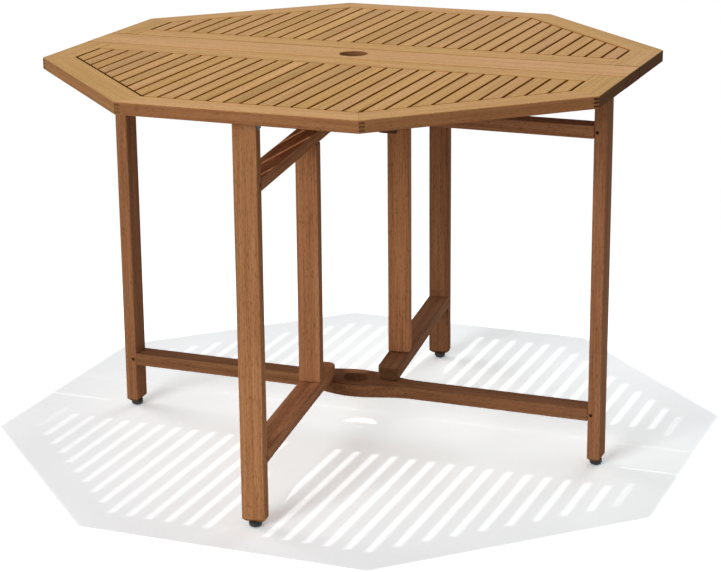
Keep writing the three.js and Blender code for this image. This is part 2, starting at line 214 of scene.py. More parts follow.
def anticlockwise(outline: np.ndarray) -> np.ndarray:
    """The outline in anticlockwise order.

    Formula: twice the area is the sum of x times the next y less y times the next x, and its sign tells.

    Args:
        outline: M x 2 points, either way round.

    Returns:
        The same points, anticlockwise.
    """
    x, y = outline.T
    area = np.sum(x * np.roll(y, -1) - y * np.roll(x, -1))
    return outline if area > 0 else outline[::-1]


def inset_outline(outline: np.ndarray, insets: np.ndarray | float) -> np.ndarray:
    """Moves every edge of a closed outline inwards.

    Formula: a corner between edges with outward normals n and m and insets d and e moves by -v, where
    v . n = d and v . m = e; between edges in one line it moves by d along n.

    Args:
        outline: M x 2 points, anticlockwise; edge i runs from point i to point i + 1.
        insets: One inset, or one for each edge.

    Returns:
        M x 2 points.
    """
    edges = np.roll(outline, -1, 0) - outline
    normals = np.column_stack([edges[:, 1], -edges[:, 0]]) / np.linalg.norm(edges, axis=1, keepdims=True)
    ahead = np.broadcast_to(np.asarray(insets, float), len(outline))[:, None]
    before, behind = np.roll(normals, 1, 0), np.roll(ahead, 1, 0)
    cosine = np.sum(normals * before, 1, keepdims=True)
    straight = cosine > STRAIGHT
    share = 1 - np.where(straight, 0.0, cosine) ** 2
    bent = (before * (behind - ahead * cosine) + normals * (ahead - behind * cosine)) / share
    return outline - np.where(straight, normals * ahead, bent)


def round_over(radius: float, steps: int = EDGE_STEPS) -> tuple[np.ndarray, np.ndarray]:
    """Insets r (1 - sin t) and rises r (1 - cos t) of a quarter-round edge, from the face to the side."""
    angle = np.linspace(0, math.pi / 2, steps + 1)
    return radius * (1 - np.sin(angle)), radius * (1 - np.cos(angle))


def slab(outline: np.ndarray, low: float, high: float, arris: float, steps: int = EDGE_STEPS) -> Shape:
    """A flat slab with rounded upper and lower edges.

    Args:
        outline: M x 2 points in plan.
        low: Height of the underside.
        high: Height of the upper face.
        arris: Radius of the edges.
        steps: Faces across an edge.

    Returns:
        The closed shape.
    """
    plan = anticlockwise(outline)
    insets, rises = round_over(arris, steps)
    lower = [level(inset_outline(plan, inset), low + rise) for inset, rise in zip(insets, rises)]
    upper = [level(inset_outline(plan, inset), high - rise) for inset, rise in zip(insets, rises)]
    return skin(np.array(lower + upper[::-1]))


def rounded_box_outline(width: float, depth: float, radius: float, steps: int = EDGE_STEPS) -> np.ndarray:
    """A rectangle with rounded corners.

    Formula: corner q is the arc of the radius about (+-(w/2 - r), +-(d/2 - r)).

    Args:
        width: Size along x.
        depth: Size along y.
        radius: Radius of the corners.
        steps: Edges round a corner.

    Returns:
        M x 2 points, anticlockwise.
    """
    angle = np.linspace(0, math.pi / 2, steps + 1)
    quarter = np.arange(4)[:, None] * math.pi / 2 + angle
    signs = np.array([[1, 1], [-1, 1], [-1, -1], [1, -1]])
    centres = signs * (np.array([width, depth]) / 2 - radius)
    arcs = centres[:, None] + radius * np.stack([np.cos(quarter), np.sin(quarter)], -1)
    return arcs.reshape(-1, 2)


def stick(width: float, depth: float, low: float, high: float, arris: float, foot: float = 0.0) -> Shape:
    """A planed stick along local z with rounded long edges.

    Args:
        width: Size along x.
        depth: Size along y.
        low: Height of the lower end.
        high: Height of the upper end.
        arris: Radius of the long edges and of the ends' edges.
        foot: Bevel round the lower end, in place of its rounded edge.

    Returns:
        The closed shape.
    """
    insets, rises = round_over(arris)
    low_insets, low_rises = (np.array([foot, 0.0]), np.array([0.0, foot])) if foot else (insets, rises)
    all_insets = np.concatenate([low_insets, insets[::-1]])
    heights = np.concatenate([low + low_rises, high - rises[::-1]])
    rings = [
        level(rounded_box_outline(width - 2 * inset, depth - 2 * inset, arris), height)
        for inset, height in zip(all_insets, heights)
    ]
    return skin(np.array(rings))


def turned(profile: list[tuple[float, float]], sides: int) -> Shape:
    """A closed shape turned about local z.

    Formula: profile point (r, h) becomes the circle (r cos a, r sin a, h).

    Args:
        profile: Radius and height, from the lower pole to the upper pole.
        sides: Faces round the shape.

    Returns:
        The closed shape.
    """
    angle = np.arange(sides) * 2 * math.pi / sides
    radius, height = np.array(profile, float).T
    rings = np.stack([np.outer(radius, np.cos(angle)), np.outer(radius, np.sin(angle)),
                      np.repeat(height[:, None], sides, 1)], -1)
    return skin(rings)


def bearing_outline(half_width: Callable[[np.ndarray], np.ndarray], end: float, steps: int) -> np.ndarray:
    """The outline of a bar, cut at even bearings from its middle so that it can be joined to a round hole.

    Formula: on the long sides y = +-h(x), and the bearing is atan2(y, x); x is read back from the bearing by
    linear interpolation on a fine table.

    Args:
        half_width: Function from x to half the bar's width.
        end: Half the bar's length.
        steps: Bearings in a quarter turn.

    Returns:
        M x 2 points, anticlockwise.
    """
    x = np.linspace(0, end, LOOKUP_POINTS)
    bearing = np.arctan2(half_width(x), x)[::-1]
    wanted = np.linspace(bearing[0], math.pi / 2, steps)
    long_x = np.interp(wanted, bearing, x[::-1])
    quarter = np.column_stack([long_x, half_width(long_x)])
    second = quarter[:-1][::-1] * (-1, 1)
    half = np.vstack([[(end, 0.0)], quarter, second])
    return np.vstack([half, -half])


def pierced_slab(outline: np.ndarray, hole: float, low: float, high: float, arris: float) -> Shape:
    """A flat slab with a round hole in its middle.

    Formula: each point of the outline is joined to the hole's point at the same bearing, and the closed
    section runs up the side, over the top, down the hole's wall and back below.

    Args:
        outline: M x 2 points, anticlockwise about the hole.
        hole: Radius of the hole.
        low: Height of the underside.
        high: Height of the upper face.
        arris: Radius of all edges.

    Returns:
        The closed shape.
    """
    insets, rises = round_over(arris)
    bearings = outline / np.linalg.norm(outline, axis=1, keepdims=True)
    depths = list(zip(insets, rises))
    rings = [level(inset_outline(outline, inset), low + rise) for inset, rise in depths]
    rings += [level(inset_outline(outline, inset), high - rise) for inset, rise in depths[::-1]]
    rings += [level(bearings * (hole + inset), high - rise) for inset, rise in depths]
    rings += [level(bearings * (hole + inset), low + rise) for inset, rise in depths[::-1]]
    return skin(np.array(rings), closed=True)


# Finishes


def linear(colour: str) -> tuple[float, float, float, float]:
    """Turns an sRGB colour to linear light.

    Formula: c / 12.92 up to 0.04045, and ((c + 0.055) / 1.055) to the power 2.4 above it.

    Args:
        colour: The colour in hex, as #rrggbb.

    Returns:
        Red, green, blue and alpha.
    """
    values = np.array([int(colour[i:i + 2], 16) / 255 for i in (1, 3, 5)])
    curved = np.where(values <= 0.04045, values / 12.92, ((values + 0.055) / 1.055) ** 2.4)
    return (*curved.tolist(), 1.0)


def add_node(tree: bpy.types.NodeTree, kind: str, inputs: dict | None = None,
             stops: tuple[tuple[float, str], ...] = (), **settings: object) -> bpy.types.Node:
    """Adds a node, sets it and links it.

    Args:
        tree: The node tree.
        kind: The node's type.
        inputs: Value or output socket for each input, by name or number.
        stops: Place and hex colour of each stop, for a colour ramp.
        **settings: Properties of the node.

    Returns:
        The node.
    """
    node = tree.nodes.new(kind)
    for key, value in settings.items():
        setattr(node, key, value)
    for key, value in (inputs or {}).items():
        if isinstance(value, bpy.types.NodeSocket):
            tree.links.new(value, node.inputs[key])
        else:
            node.inputs[key].default_value = value
    for _ in stops[2:]:
        node.color_ramp.elements.new(1.0)
    for i, (place, colour) in enumerate(stops):
        node.color_ramp.elements[i].position = place
        node.color_ramp.elements[i].color = linear(colour)
    return node


def showing_rays(tree: bpy.types.NodeTree) -> bpy.types.NodeSocket:
    """Tells the rays that show a background, to the eye or in a gloss, from those that only carry light.

    Formula: the largest of the Light Path's camera, glossy and transmission outputs, so 1 or 0.

    Args:
        tree: The node tree of a material or the world.

    Returns:
        The socket with the result.
    """
    rays = add_node(tree, "ShaderNodeLightPath").outputs
    mirrored = add_node(tree, "ShaderNodeMath", {0: rays["Is Glossy Ray"], 1: rays["Is Transmission Ray"]},
                        operation="MAXIMUM")
    return add_node(tree, "ShaderNodeMath", {0: rays["Is Camera Ray"], 1: mirrored.outputs[0]},
                    operation="MAXIMUM").outputs[0]


def new_material(name: str) -> tuple[bpy.types.Material, bpy.types.NodeTree]:
    """Makes an empty node material.

    Args:
        name: Its name.

    Returns:
        The material and its tree.
    """
    material = bpy.data.materials.new(name)
    material.use_nodes = True
    material.node_tree.nodes.clear()
    return material, material.node_tree


@dataclass(frozen=True)
class OiledHardwood:
    """Planed and oiled plantation hardwood, light as eucalyptus.

    The eye sees fine lengthwise fibre streaks, faint growth rings that run off a stick's edge, short dark
    pores, a tone that drifts from golden to rosy from stick to stick, and darker end grain.

    Each palette is the colour of a dark streak, of the body and of a pale streak. A share, drift, shade or
    dulling is how far its pattern moves the result from the pattern's 0 to its 1.
    """

    name: str
    golden: Palette
    rosy: Palette
    # The upper palettes paint the upper face and its rounded edges paler than the sides: painted light.
    golden_lit_top: Palette | None = None
    rosy_lit_top: Palette | None = None
    palette_places: tuple[float, float, float] = (0.18, 0.52, 0.86)
    upper_height: float = 740.0
    upper_start: float = 1.1
    upper_full: float = 0.2
    fibre_share: float = 0.7
    streak_share: float = 0.62
    ring_share: float = 0.14
    tone_drift: float = 0.8
    shade_drift: float = 0.1
    end_shade: float = -0.34
    # The gap tint and the deep value paint shade into narrow gaps.
    gap_shade_tint: str = "#edd37c"
    deep_gap_shade: float = 0.3
    roughness: float = 0.58
    fibre_dulling: float = 0.16
    streak_dulling: float = 0.12
    end_dulling: float = 0.16
    edge_dulling: float = 0.3
    # The usual level is 0.5, but old oil is nearly matt.
    specular: float = 0.07
    ior: float = 1.5
    relief_share: float = 0.6
    relief_strength: float = 0.28
    relief_depth: float = 0.35
    noise_roughness: float = 0.55
    ring_pitch: float = 7.0
    ring_sway: float = 5.0
    sway_length: float = 546.0
    sway_width: float = 36.0
    fibre_length: float = 120.0
    fibre_width: float = 1.6
    streak_length: float = 420.0
    streak_width: float = 9.0
    drift_width: float = 63.0
    # Real pores are a tenth of this width, too fine to show.
    pore_length: float = 9.0
    pore_width: float = 1.7
    pore_light: float = 0.7
    pore_rim: float = 0.56
    pore_floor: float = 0.69

    def pattern(self, tree: bpy.types.NodeTree, grain: bpy.types.NodeSocket, length: float, width: float,
                detail: float) -> bpy.types.NodeSocket:
        """Noise stretched along the grain.

        Args:
            tree: The node tree.
            grain: Grain coordinates in metres, x along the stick.
            length: Length of a patch in millimetres.
            width: Width of a patch in millimetres.
            detail: Octaves of the noise.

        Returns:
            A value about 0.5.
        """
        scale = (1 / (length * MM), 1 / (width * MM), 1 / (width * MM))
        stretched = add_node(tree, "ShaderNodeMapping", {"Vector": grain, "Scale": scale})
        noise = add_node(tree, "ShaderNodeTexNoise", {"Vector": stretched.outputs[0], "Scale": 1.0,
                                                      "Detail": detail, "Roughness": self.noise_roughness})
        return noise.outputs[0]

    def rings(self, tree: bpy.types.NodeTree, grain: bpy.types.NodeSocket) -> bpy.types.NodeSocket:
        """Growth rings about the pith, which lies along the grain's axis.

        Formula: a zigzag of the distance from the axis over the ring pitch, swayed by slow noise.

        Args:
            tree: The node tree.
            grain: Grain coordinates in metres, x along the stick.

        Returns:
            A value between 0 and 1.
        """
        sway = self.pattern(tree, grain, self.sway_length, self.sway_width, 1.0)
        across = add_node(tree, "ShaderNodeMapping", {"Vector": grain, "Scale": (0.0, 1.0, 1.0)})
        distance = add_node(tree, "ShaderNodeVectorMath", {0: across.outputs[0]}, operation="LENGTH")
        turns = add_node(tree, "ShaderNodeMath", {0: distance.outputs["Value"],
                                                  1: 1 / (self.ring_pitch * MM)}, operation="MULTIPLY")
        swayed = add_node(tree, "ShaderNodeMath", {0: sway, 1: self.ring_sway, 2: turns.outputs[0]},
                          operation="MULTIPLY_ADD")
        zigzag = add_node(tree, "ShaderNodeMath", {0: swayed.outputs[0], 1: 1.0}, operation="PINGPONG")
        return zigzag.outputs[0]

    def sum_of(self, tree: bpy.types.NodeTree, parts: list[tuple[bpy.types.NodeSocket, float]],
               start: float) -> bpy.types.NodeSocket:
        """Adds patterns up about a middle value.

        Formula: start + the sum of (value - 0.5) times its weight.

        Args:
            tree: The node tree.
            parts: Value and weight of each pattern.
            start: The middle value.

        Returns:
            The sum.
        """
        total: bpy.types.NodeSocket | float = start - 0.5 * sum(weight for _, weight in parts)
        for value, weight in parts:
            step = add_node(tree, "ShaderNodeMath", {0: value, 1: weight, 2: total}, operation="MULTIPLY_ADD")
            total = step.outputs[0]
        return total

    def palette(self, tree: bpy.types.NodeTree, streaks: bpy.types.NodeSocket, tone: bpy.types.NodeSocket,
                golden: Palette, rosy: Palette) -> bpy.types.NodeSocket:
        """Colours the streaks.

        Args:
            tree: The node tree.
            streaks: 0 in a dark streak and 1 in a pale one.
            tone: 0 is golden and 1 is rosy.
            golden: The golden palette.
            rosy: The rosy palette.

        Returns:
            The colour.
        """
        ramps = [
            add_node(tree, "ShaderNodeValToRGB", {"Fac": streaks}, tuple(zip(self.palette_places, colours)))
            for colours in (golden, rosy)
        ]
        return add_node(tree, "ShaderNodeMix", {0: tone, MIX_A: ramps[0].outputs[0],
                                                MIX_B: ramps[1].outputs[0]},
                        data_type="RGBA").outputs[MIX_RESULT]

    def upper(self, tree: bpy.types.NodeTree) -> bpy.types.NodeSocket:
        """Tells the upper face and its rounded edges from the rest.

        Args:
            tree: The node tree.

        Returns:
            1 on the upper face and 0 on the sides.
        """
        place = add_node(tree, "ShaderNodeTexCoord").outputs["Object"]
        height = add_node(tree, "ShaderNodeSeparateXYZ", {0: place}).outputs[2]
        return add_node(tree, "ShaderNodeMapRange", {
            "Value": height, "From Min": (self.upper_height - self.upper_start) * MM,
            "From Max": (self.upper_height - self.upper_full) * MM}).outputs[0]

    def paint_gap_shade(self, tree: bpy.types.NodeTree, colour: bpy.types.NodeSocket, shaded: bpy.types.NodeSocket,
                end: bpy.types.NodeSocket) -> bpy.types.NodeSocket:
        """Paints the sides of narrow gaps a deep orange brown and the deepest ones darker still: painted
        shade.

        Args:
            tree: The node tree.
            colour: The wood's colour before its shading.
            shaded: Its colour after it.
            end: The end value.

        Returns:
            The colour.
        """
        gap, deep = EndGrainAndGapShade.GAP.value, EndGrainAndGapShade.DEEP_GAP.value
        in_gap = add_node(tree, "ShaderNodeMapRange", {"Value": end, "From Min": EndGrainAndGapShade.END_GRAIN.value,
                                                       "From Max": gap}).outputs[0]
        gap_shade_colour = add_node(tree, "ShaderNodeMix", {0: 1.0, MIX_A: colour, MIX_B: linear(self.gap_shade_tint)},
                          data_type="RGBA", blend_type="MULTIPLY").outputs[MIX_RESULT]
        depth = add_node(tree, "ShaderNodeMapRange", {"Value": end, "From Min": gap, "From Max": deep,
                                                      "To Min": 1.0, "To Max": self.deep_gap_shade}).outputs[0]
        darkened = add_node(tree, "ShaderNodeVectorMath", {0: gap_shade_colour, "Scale": depth}, operation="SCALE")
        return add_node(tree, "ShaderNodeMix", {0: in_gap, MIX_A: shaded, MIX_B: darkened.outputs[0]},
                        data_type="RGBA").outputs[MIX_RESULT]

    def material(self) -> bpy.types.Material:
        """The wood as a node material that reads the grain, stick, end and flank attributes.

        Returns:
            The material.
        """
        material, tree = new_material(self.name)
        grain = add_node(tree, "ShaderNodeAttribute", attribute_name="grain").outputs["Vector"]
        cut = add_node(tree, "ShaderNodeAttribute", attribute_name="stick").outputs["Vector"]
        end = add_node(tree, "ShaderNodeAttribute", attribute_name="end").outputs["Fac"]
        side = add_node(tree, "ShaderNodeAttribute", attribute_name="painted_side_light").outputs["Fac"]
        parts = add_node(tree, "ShaderNodeSeparateXYZ", {0: cut}).outputs
        tone, shade = parts[0], parts[1]
        fibre = self.pattern(tree, grain, self.fibre_length, self.fibre_width, 3.0)
        streak = self.pattern(tree, grain, self.streak_length, self.streak_width, 2.0)
        drift = self.pattern(tree, grain, self.streak_length, self.drift_width, 1.0)
        pores = self.pattern(tree, grain, self.pore_length, self.pore_width, 1.0)
        rings = self.rings(tree, grain)
        streaks = self.sum_of(tree, [(fibre, self.fibre_share), (streak, self.streak_share),
                                     (rings, self.ring_share)], self.palette_places[1])
        mixed_tone = self.sum_of(tree, [(drift, self.tone_drift), (tone, 1.0)], 0.5)
        clamped = add_node(tree, "ShaderNodeClamp", {0: mixed_tone}).outputs[0]
        colour = self.palette(tree, streaks, clamped, self.golden, self.rosy)
        gloss_start = self.roughness + self.end_dulling / 2
        gloss_parts = [(fibre, self.fibre_dulling), (streak, self.streak_dulling), (end, self.end_dulling)]
        if self.golden_lit_top and self.rosy_lit_top:
            # Painted light: the upper face and its rounded edges get paler palettes, the sides their side
            # value.
            pale = self.palette(tree, streaks, clamped, self.golden_lit_top, self.rosy_lit_top)
            upper = self.upper(tree)
            painted_side_light = add_node(tree, "ShaderNodeVectorMath", {0: colour, "Scale": side}, operation="SCALE")
            colour = add_node(tree, "ShaderNodeMix", {0: upper, MIX_A: painted_side_light.outputs[0], MIX_B: pale},
                              data_type="RGBA").outputs[MIX_RESULT]
            # Its edges are sawn and stay duller.
            gloss_start += self.edge_dulling / 2
            gloss_parts.append((upper, -self.edge_dulling))
        pore = add_node(tree, "ShaderNodeMapRange", {"Value": pores, "From Min": self.pore_rim,
                                                     "From Max": self.pore_floor, "To Min": 1.0,
                                                     "To Max": self.pore_light}).outputs[0]
        light = self.sum_of(tree, [(shade, 1.0), (drift, self.shade_drift), (end, self.end_shade)],
                            1.0 + self.end_shade / 2)
        pored = add_node(tree, "ShaderNodeMath", {0: light, 1: pore}, operation="MULTIPLY").outputs[0]
        grey = add_node(tree, "ShaderNodeCombineXYZ", {0: pored, 1: pored, 2: pored}).outputs[0]
        shaded = add_node(tree, "ShaderNodeMix", {0: 1.0, MIX_A: colour, MIX_B: grey}, data_type="RGBA",
                          blend_type="MULTIPLY").outputs[MIX_RESULT]
        relief = self.sum_of(tree, [(fibre, self.relief_share), (pore, 1.0)], 0.5)
        bump = add_node(tree, "ShaderNodeBump", {"Height": relief, "Strength": self.relief_strength,
                                                 "Distance": self.relief_depth * MM})
        shader = add_node(tree, "ShaderNodeBsdfPrincipled", {
            "Base Color": self.paint_gap_shade(tree, colour, shaded, end),
            "Roughness": self.sum_of(tree, gloss_parts, gloss_start), "Normal": bump.outputs[0],
            "IOR": self.ior, "Specular IOR Level": self.specular})
        add_node(tree, "ShaderNodeOutputMaterial", {"Surface": shader.outputs[0]})
        return material


@dataclass(frozen=True)
class BrushedSteel:
    """Stainless hinge strip, brushed along its rolls: a soft grey shine with fine lines along X."""

    name: str = "brushed_stainless_steel"
    colour: str = "#a8a49a"
    line_colour: str = "#96928a"
    colour_places: tuple[float, float] = (0.3, 0.7)
    line_width: float = 0.5
    line_length: float = 30.0
    smoothest: float = 0.26
    roughest: float = 0.5
    relief_strength: float = 0.2
    relief_depth: float = 0.05

    def material(self) -> bpy.types.Material:
        """The steel as a node material on Object coordinates.

        Returns:
            The material.
        """
        material, tree = new_material(self.name)
        place = add_node(tree, "ShaderNodeTexCoord").outputs["Object"]
        scale = (1 / (self.line_length * MM), 1 / (self.line_width * MM), 1 / (self.line_width * MM))
        lines = add_node(tree, "ShaderNodeMapping", {"Vector": place, "Scale": scale})
        noise = add_node(tree, "ShaderNodeTexNoise", {"Vector": lines.outputs[0], "Scale": 1.0,
                                                      "Detail": 3.0})
        gloss = add_node(tree, "ShaderNodeMapRange", {"Value": noise.outputs[0], "To Min": self.smoothest,
                                                      "To Max": self.roughest})
        tint = add_node(tree, "ShaderNodeValToRGB", {"Fac": noise.outputs[0]},
                        tuple(zip(self.colour_places, (self.line_colour, self.colour))))
        bump = add_node(tree, "ShaderNodeBump", {"Height": noise.outputs[0], "Strength": self.relief_strength,
                                                 "Distance": self.relief_depth * MM})
        shader = add_node(tree, "ShaderNodeBsdfPrincipled", {
            "Base Color": tint.outputs[0], "Metallic": 1.0, "Roughness": gloss.outputs[0],
            "Normal": bump.outputs[0]})
        add_node(tree, "ShaderNodeOutputMaterial", {"Surface": shader.outputs[0]})
        return material


@dataclass(frozen=True)
class MouldedPolyethylene:
    """Injection-moulded black polyethylene: near black, half dull, with a fine eroded mould texture."""

    name: str = "moulded_black_polyethylene"
    colour: str = "#191817"
    rubbed: str = "#2e2c2a"
    colour_places: tuple[float, float] = (0.4, 0.72)
    grit: float = 0.6
    patch: float = 9.0
    smoothest: float = 0.36
    roughest: float = 0.6
    relief_strength: float = 0.25
    relief_depth: float = 0.08
    ior: float = 1.51

    def material(self) -> bpy.types.Material:
        """The plastic as a node material on Object coordinates.

        Returns:
            The material.
        """
        material, tree = new_material(self.name)
        place = add_node(tree, "ShaderNodeTexCoord").outputs["Object"]
        fine, broad = (
            add_node(tree, "ShaderNodeTexNoise", {"Vector": place, "Scale": 1 / (size * MM), "Detail": 2.0})
            for size in (self.grit, self.patch)
        )
        tint = add_node(tree, "ShaderNodeValToRGB", {"Fac": broad.outputs[0]},
                        tuple(zip(self.colour_places, (self.colour, self.rubbed))))
        gloss = add_node(tree, "ShaderNodeMapRange", {"Value": broad.outputs[0], "To Min": self.smoothest,
                                                      "To Max": self.roughest})
        bump = add_node(tree, "ShaderNodeBump", {"Height": fine.outputs[0], "Strength": self.relief_strength,
                                                 "Distance": self.relief_depth * MM})
        shader = add_node(tree, "ShaderNodeBsdfPrincipled", {
            "Base Color": tint.outputs[0], "Roughness": gloss.outputs[0], "Normal": bump.outputs[0],
            "IOR": self.ior})
        add_node(tree, "ShaderNodeOutputMaterial", {"Surface": shader.outputs[0]})
        return material


@dataclass(frozen=True)
class Timber:
    """How one piece of timber was cut.

    Args:
        along: Direction of the grain.
        face: Normal of its broad face.
        tone: 0 is golden and 1 is rosy.
        shade: Change in brightness, about 0.
        side: Painted light and shade: change in brightness of its edges, for wood with a golden upper face.
        bore: Radius of a hole along Z at the origin, whose wall soaks up some oil, but less than end grain.
        hidden: Normals of the edges in narrow gaps, which get painted shade.
        deep: Normals of the end grain in narrow gaps, which get the darkest painted shade.
    """

    along: Vector3
    face: Vector3 = UP
    tone: float = 0.5
    shade: float = 0.0
    side: float = 0.0
    bore: float = 0.0
    hidden: tuple[Vector3, ...] = ()
    deep: tuple[Vector3, ...] = ()


@dataclass
class Workshop:
    """Makes the pieces: writes meshes, marks their grain, dresses them and sets them on their bodies."""

    random: np.random.Generator = field(default_factory=lambda: np.random.default_rng(SEED))
    materials: dict[Slot, bpy.types.Material] = field(default_factory=dict)
    made: int = 0
    trunk_length: float = 9000.0
    pith_nearest: float = 50.0
    pith_farthest: float = 140.0
    # Cosines of the angle between a face's normal and the direction that it is tested against.
    end_cosine: float = 0.6
    gap_cosine: float = 0.65
    deep_cosine: float = 0.9
    flank_cosine: float = 0.7
    bore_margin: float = 0.8

    def stock(self) -> None:
        """Makes the finishes."""
        finishes = {
            Slot.TOP_WOOD: OiledHardwood(
                name="oiled_eucalyptus_top",
                golden=("#845a34", "#9c6d43", "#ae8053"), rosy=("#7c4d33", "#996541", "#aa7650"),
                # The upper palettes are painted light on the upper face.
                golden_lit_top=("#9d7139", "#b48a4d", "#c39b5f"), rosy_lit_top=("#a67749", "#c09162", "#cba173")),
            Slot.FRAME_WOOD: OiledHardwood(
                name="oiled_eucalyptus_frame",
                golden=("#8b5d3a", "#ac774c", "#be8b5f"), rosy=("#805038", "#a36b49", "#b47e5c"),
                fibre_share=1.15, pore_light=0.66, roughness=0.84),
            Slot.STEEL: BrushedSteel(),
            Slot.BLACK_PLASTIC: MouldedPolyethylene(),
        }
        self.materials = {slot: finish.material() for slot, finish in finishes.items()}

    def mark(self, mesh: bpy.types.Mesh, timber: Timber) -> None:
        """Stores grain coordinates, tone and end grain on a mesh.

        Formula: a point p gets the grain value (p . along, p . across, p . face) plus an offset, which puts
        it somewhere along a trunk whose pith runs beside it in a random direction. The stick value is the
        tone, the shade about 0.5 and an empty third number. The end value marks end grain where a face's
        normal lies near the grain, then the gaps' faces and the deep ones for painted shade, and last the
        bore's wall. Upright faces get 1 plus the side's change, painted light and shade, as a second value.

        Args:
            mesh: The finished mesh, in place.
            timber: How it was cut.
        """
        places = np.empty(len(mesh.vertices) * 3)
        mesh.vertices.foreach_get("co", places)
        along = np.asarray(timber.along, float) / np.linalg.norm(timber.along)
        face = np.asarray(timber.face, float)
        axes = np.array([along, np.cross(face, along), face])
        own = places.reshape(-1, 3) - places.reshape(-1, 3).mean(0)
        turn = self.random.uniform(0, 2 * math.pi)
        distance = self.random.uniform(self.pith_nearest, self.pith_farthest) * MM
        start = self.random.uniform(0, self.trunk_length * MM)
        offset = np.array([start, distance * math.cos(turn), distance * math.sin(turn)])
        grain = mesh.attributes.new("grain", "FLOAT_VECTOR", "POINT")
        grain.data.foreach_set("vector", (own @ axes.T + offset).ravel())
        stick_value = np.tile([timber.tone, 0.5 + timber.shade, 0.0], (len(mesh.vertices), 1))
        mesh.attributes.new("stick", "FLOAT_VECTOR", "POINT").data.foreach_set("vector", stick_value.ravel())
        normals = np.empty(len(mesh.polygons) * 3)
        mesh.polygons.foreach_get("normal", normals)
        normals = normals.reshape(-1, 3)
        ends = np.where(np.abs(normals @ along) > self.end_cosine, EndGrainAndGapShade.END_GRAIN.value, EndGrainAndGapShade.FACE.value)
        flanks = np.where(np.abs(normals[:, 2]) < self.flank_cosine, 1.0 + timber.side, 1.0)
        for ways, cosine, soak in ((timber.hidden, self.gap_cosine, EndGrainAndGapShade.GAP),
                                   (timber.deep, self.deep_cosine, EndGrainAndGapShade.DEEP_GAP)):
            for way in ways:
                ends[normals @ np.asarray(way) > cosine] = soak.value
        if timber.bore:
            centres = np.empty(len(mesh.polygons) * 3)
            mesh.polygons.foreach_get("center", centres)
            from_axis = np.linalg.norm(centres.reshape(-1, 3)[:, :2], axis=1)
            bored = from_axis < (timber.bore + self.bore_margin) * MM
            ends[bored], flanks[bored] = EndGrainAndGapShade.BORE.value, 1.0
        mesh.attributes.new("end", "FLOAT", "FACE").data.foreach_set("value", ends)
        mesh.attributes.new("painted_side_light", "FLOAT", "FACE").data.foreach_set("value", flanks)

    def piece(self, name: str, shape: Shape, body: Body, slot: Slot, nodes: tuple[str, ...] = (),
              timber: Timber | None = None, holes: Shape | None = None) -> bpy.types.Object:
        """Makes one piece.

        Args:
            name: The piece's name.
            shape: Its shape in the table's frame.
            body: The body it rides on.
            slot: The finish it takes.
            nodes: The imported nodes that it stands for.
            timber: How it was cut, for wood.
            holes: Rods that are cut out of it.

        Returns:
            The object, at the origin, with its place in its mesh.
        """
        mesh = self.write(name, shape)
        if holes is not None:
            mesh = self.bored(name, mesh, self.write(f"{name}_holes", holes))
        mesh.shade_smooth()
        mesh.set_sharp_from_angle(angle=SHARP_ANGLE)
        if timber is not None:
            self.mark(mesh, timber)
        made = bpy.data.objects.new(name, mesh)
        bpy.context.scene.collection.objects.link(made)
        mesh.materials.append(self.materials[slot])
        weighted = made.modifiers.new("weighted_normals", "WEIGHTED_NORMAL")
        weighted.keep_sharp = True
        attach(made, body.value)
        if nodes:
            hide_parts(*nodes)
        self.made += 1
        LOG.info("%s on %s: %d faces", name, body.value, len(mesh.polygons))
        return made

    @staticmethod
    def write(name: str, shape: Shape) -> bpy.types.Mesh:
        """Writes a shape as a mesh in metres, with doubled corners merged and its faces pointing outwards.

        Args:
            name: The mesh's name.
            shape: The shape in millimetres.

        Returns:
            The mesh.
        """
        mesh = bpy.data.meshes.new(name)
        mesh.from_pydata((shape.points * MM).tolist(), [], shape.faces)
        work = bmesh.new()
        work.from_mesh(mesh)
        bmesh.ops.remove_doubles(work, verts=work.verts[:], dist=MERGE)
        bmesh.ops.dissolve_degenerate(work, edges=work.edges[:], dist=MERGE)
        bmesh.ops.recalc_face_normals(work, faces=work.faces[:])
        work.to_mesh(mesh)
        work.free()
        return mesh

    @staticmethod
    def bored(name: str, mesh: bpy.types.Mesh, rods: bpy.types.Mesh) -> bpy.types.Mesh:
        """The mesh with the rods cut out of it.

        Args:
            name: The new mesh's name.
            mesh: What is bored.
            rods: What is cut away.

        Returns:
            The new mesh.
        """
        target = bpy.data.objects.new(f"{name}_blank", mesh)
        cutter = bpy.data.objects.new(f"{name}_bit", rods)
        for part in (target, cutter):
            bpy.context.scene.collection.objects.link(part)
        cut = target.modifiers.new("bore", "BOOLEAN")
        cut.object, cut.operation, cut.solver = cutter, "DIFFERENCE", "EXACT"
        graph = bpy.context.evaluated_depsgraph_get()
        bored = bpy.data.meshes.new_from_object(target.evaluated_get(graph))
        for part in (target, cutter):
            bpy.data.objects.remove(part)
        bored.name = name
        return bored


# Fittings


@dataclass(frozen=True)
class Screw:
    """The head of a countersunk wood screw, with a dished driver recess.

    Sizes are the head's width, its crown above the wood and the recess's width and depth. A share is a part
    of the head's radius, of the recess's radius for its floor, and of its depth for what is buried.
    """

    width: float = 6.6
    crown: float = 0.3
    recess_width: float = 3.4
    recess_depth: float = 1.1
    buried_share: float = 1.6
    neck_share: float = 0.55
    rim_share: float = 0.93
    crown_share: float = 0.75
    floor_share: float = 0.62
    sides: int = 14

    def shape(self) -> Shape:
        """The head about local z, its outer face up at z = 0.

        Returns:
            The closed shape.
        """
        radius, recess = self.width / 2, self.recess_width / 2
        buried, floor = -self.recess_depth * self.buried_share, self.crown - self.recess_depth
        profile = [
            (0.0, buried), (radius * self.neck_share, buried), (radius, -self.crown),
            (radius * self.rim_share, 0.0), (radius * self.crown_share, self.crown), (recess, self.crown),
            (recess * self.floor_share, floor), (0.0, floor),
        ]
        return turned(profile, self.sides)


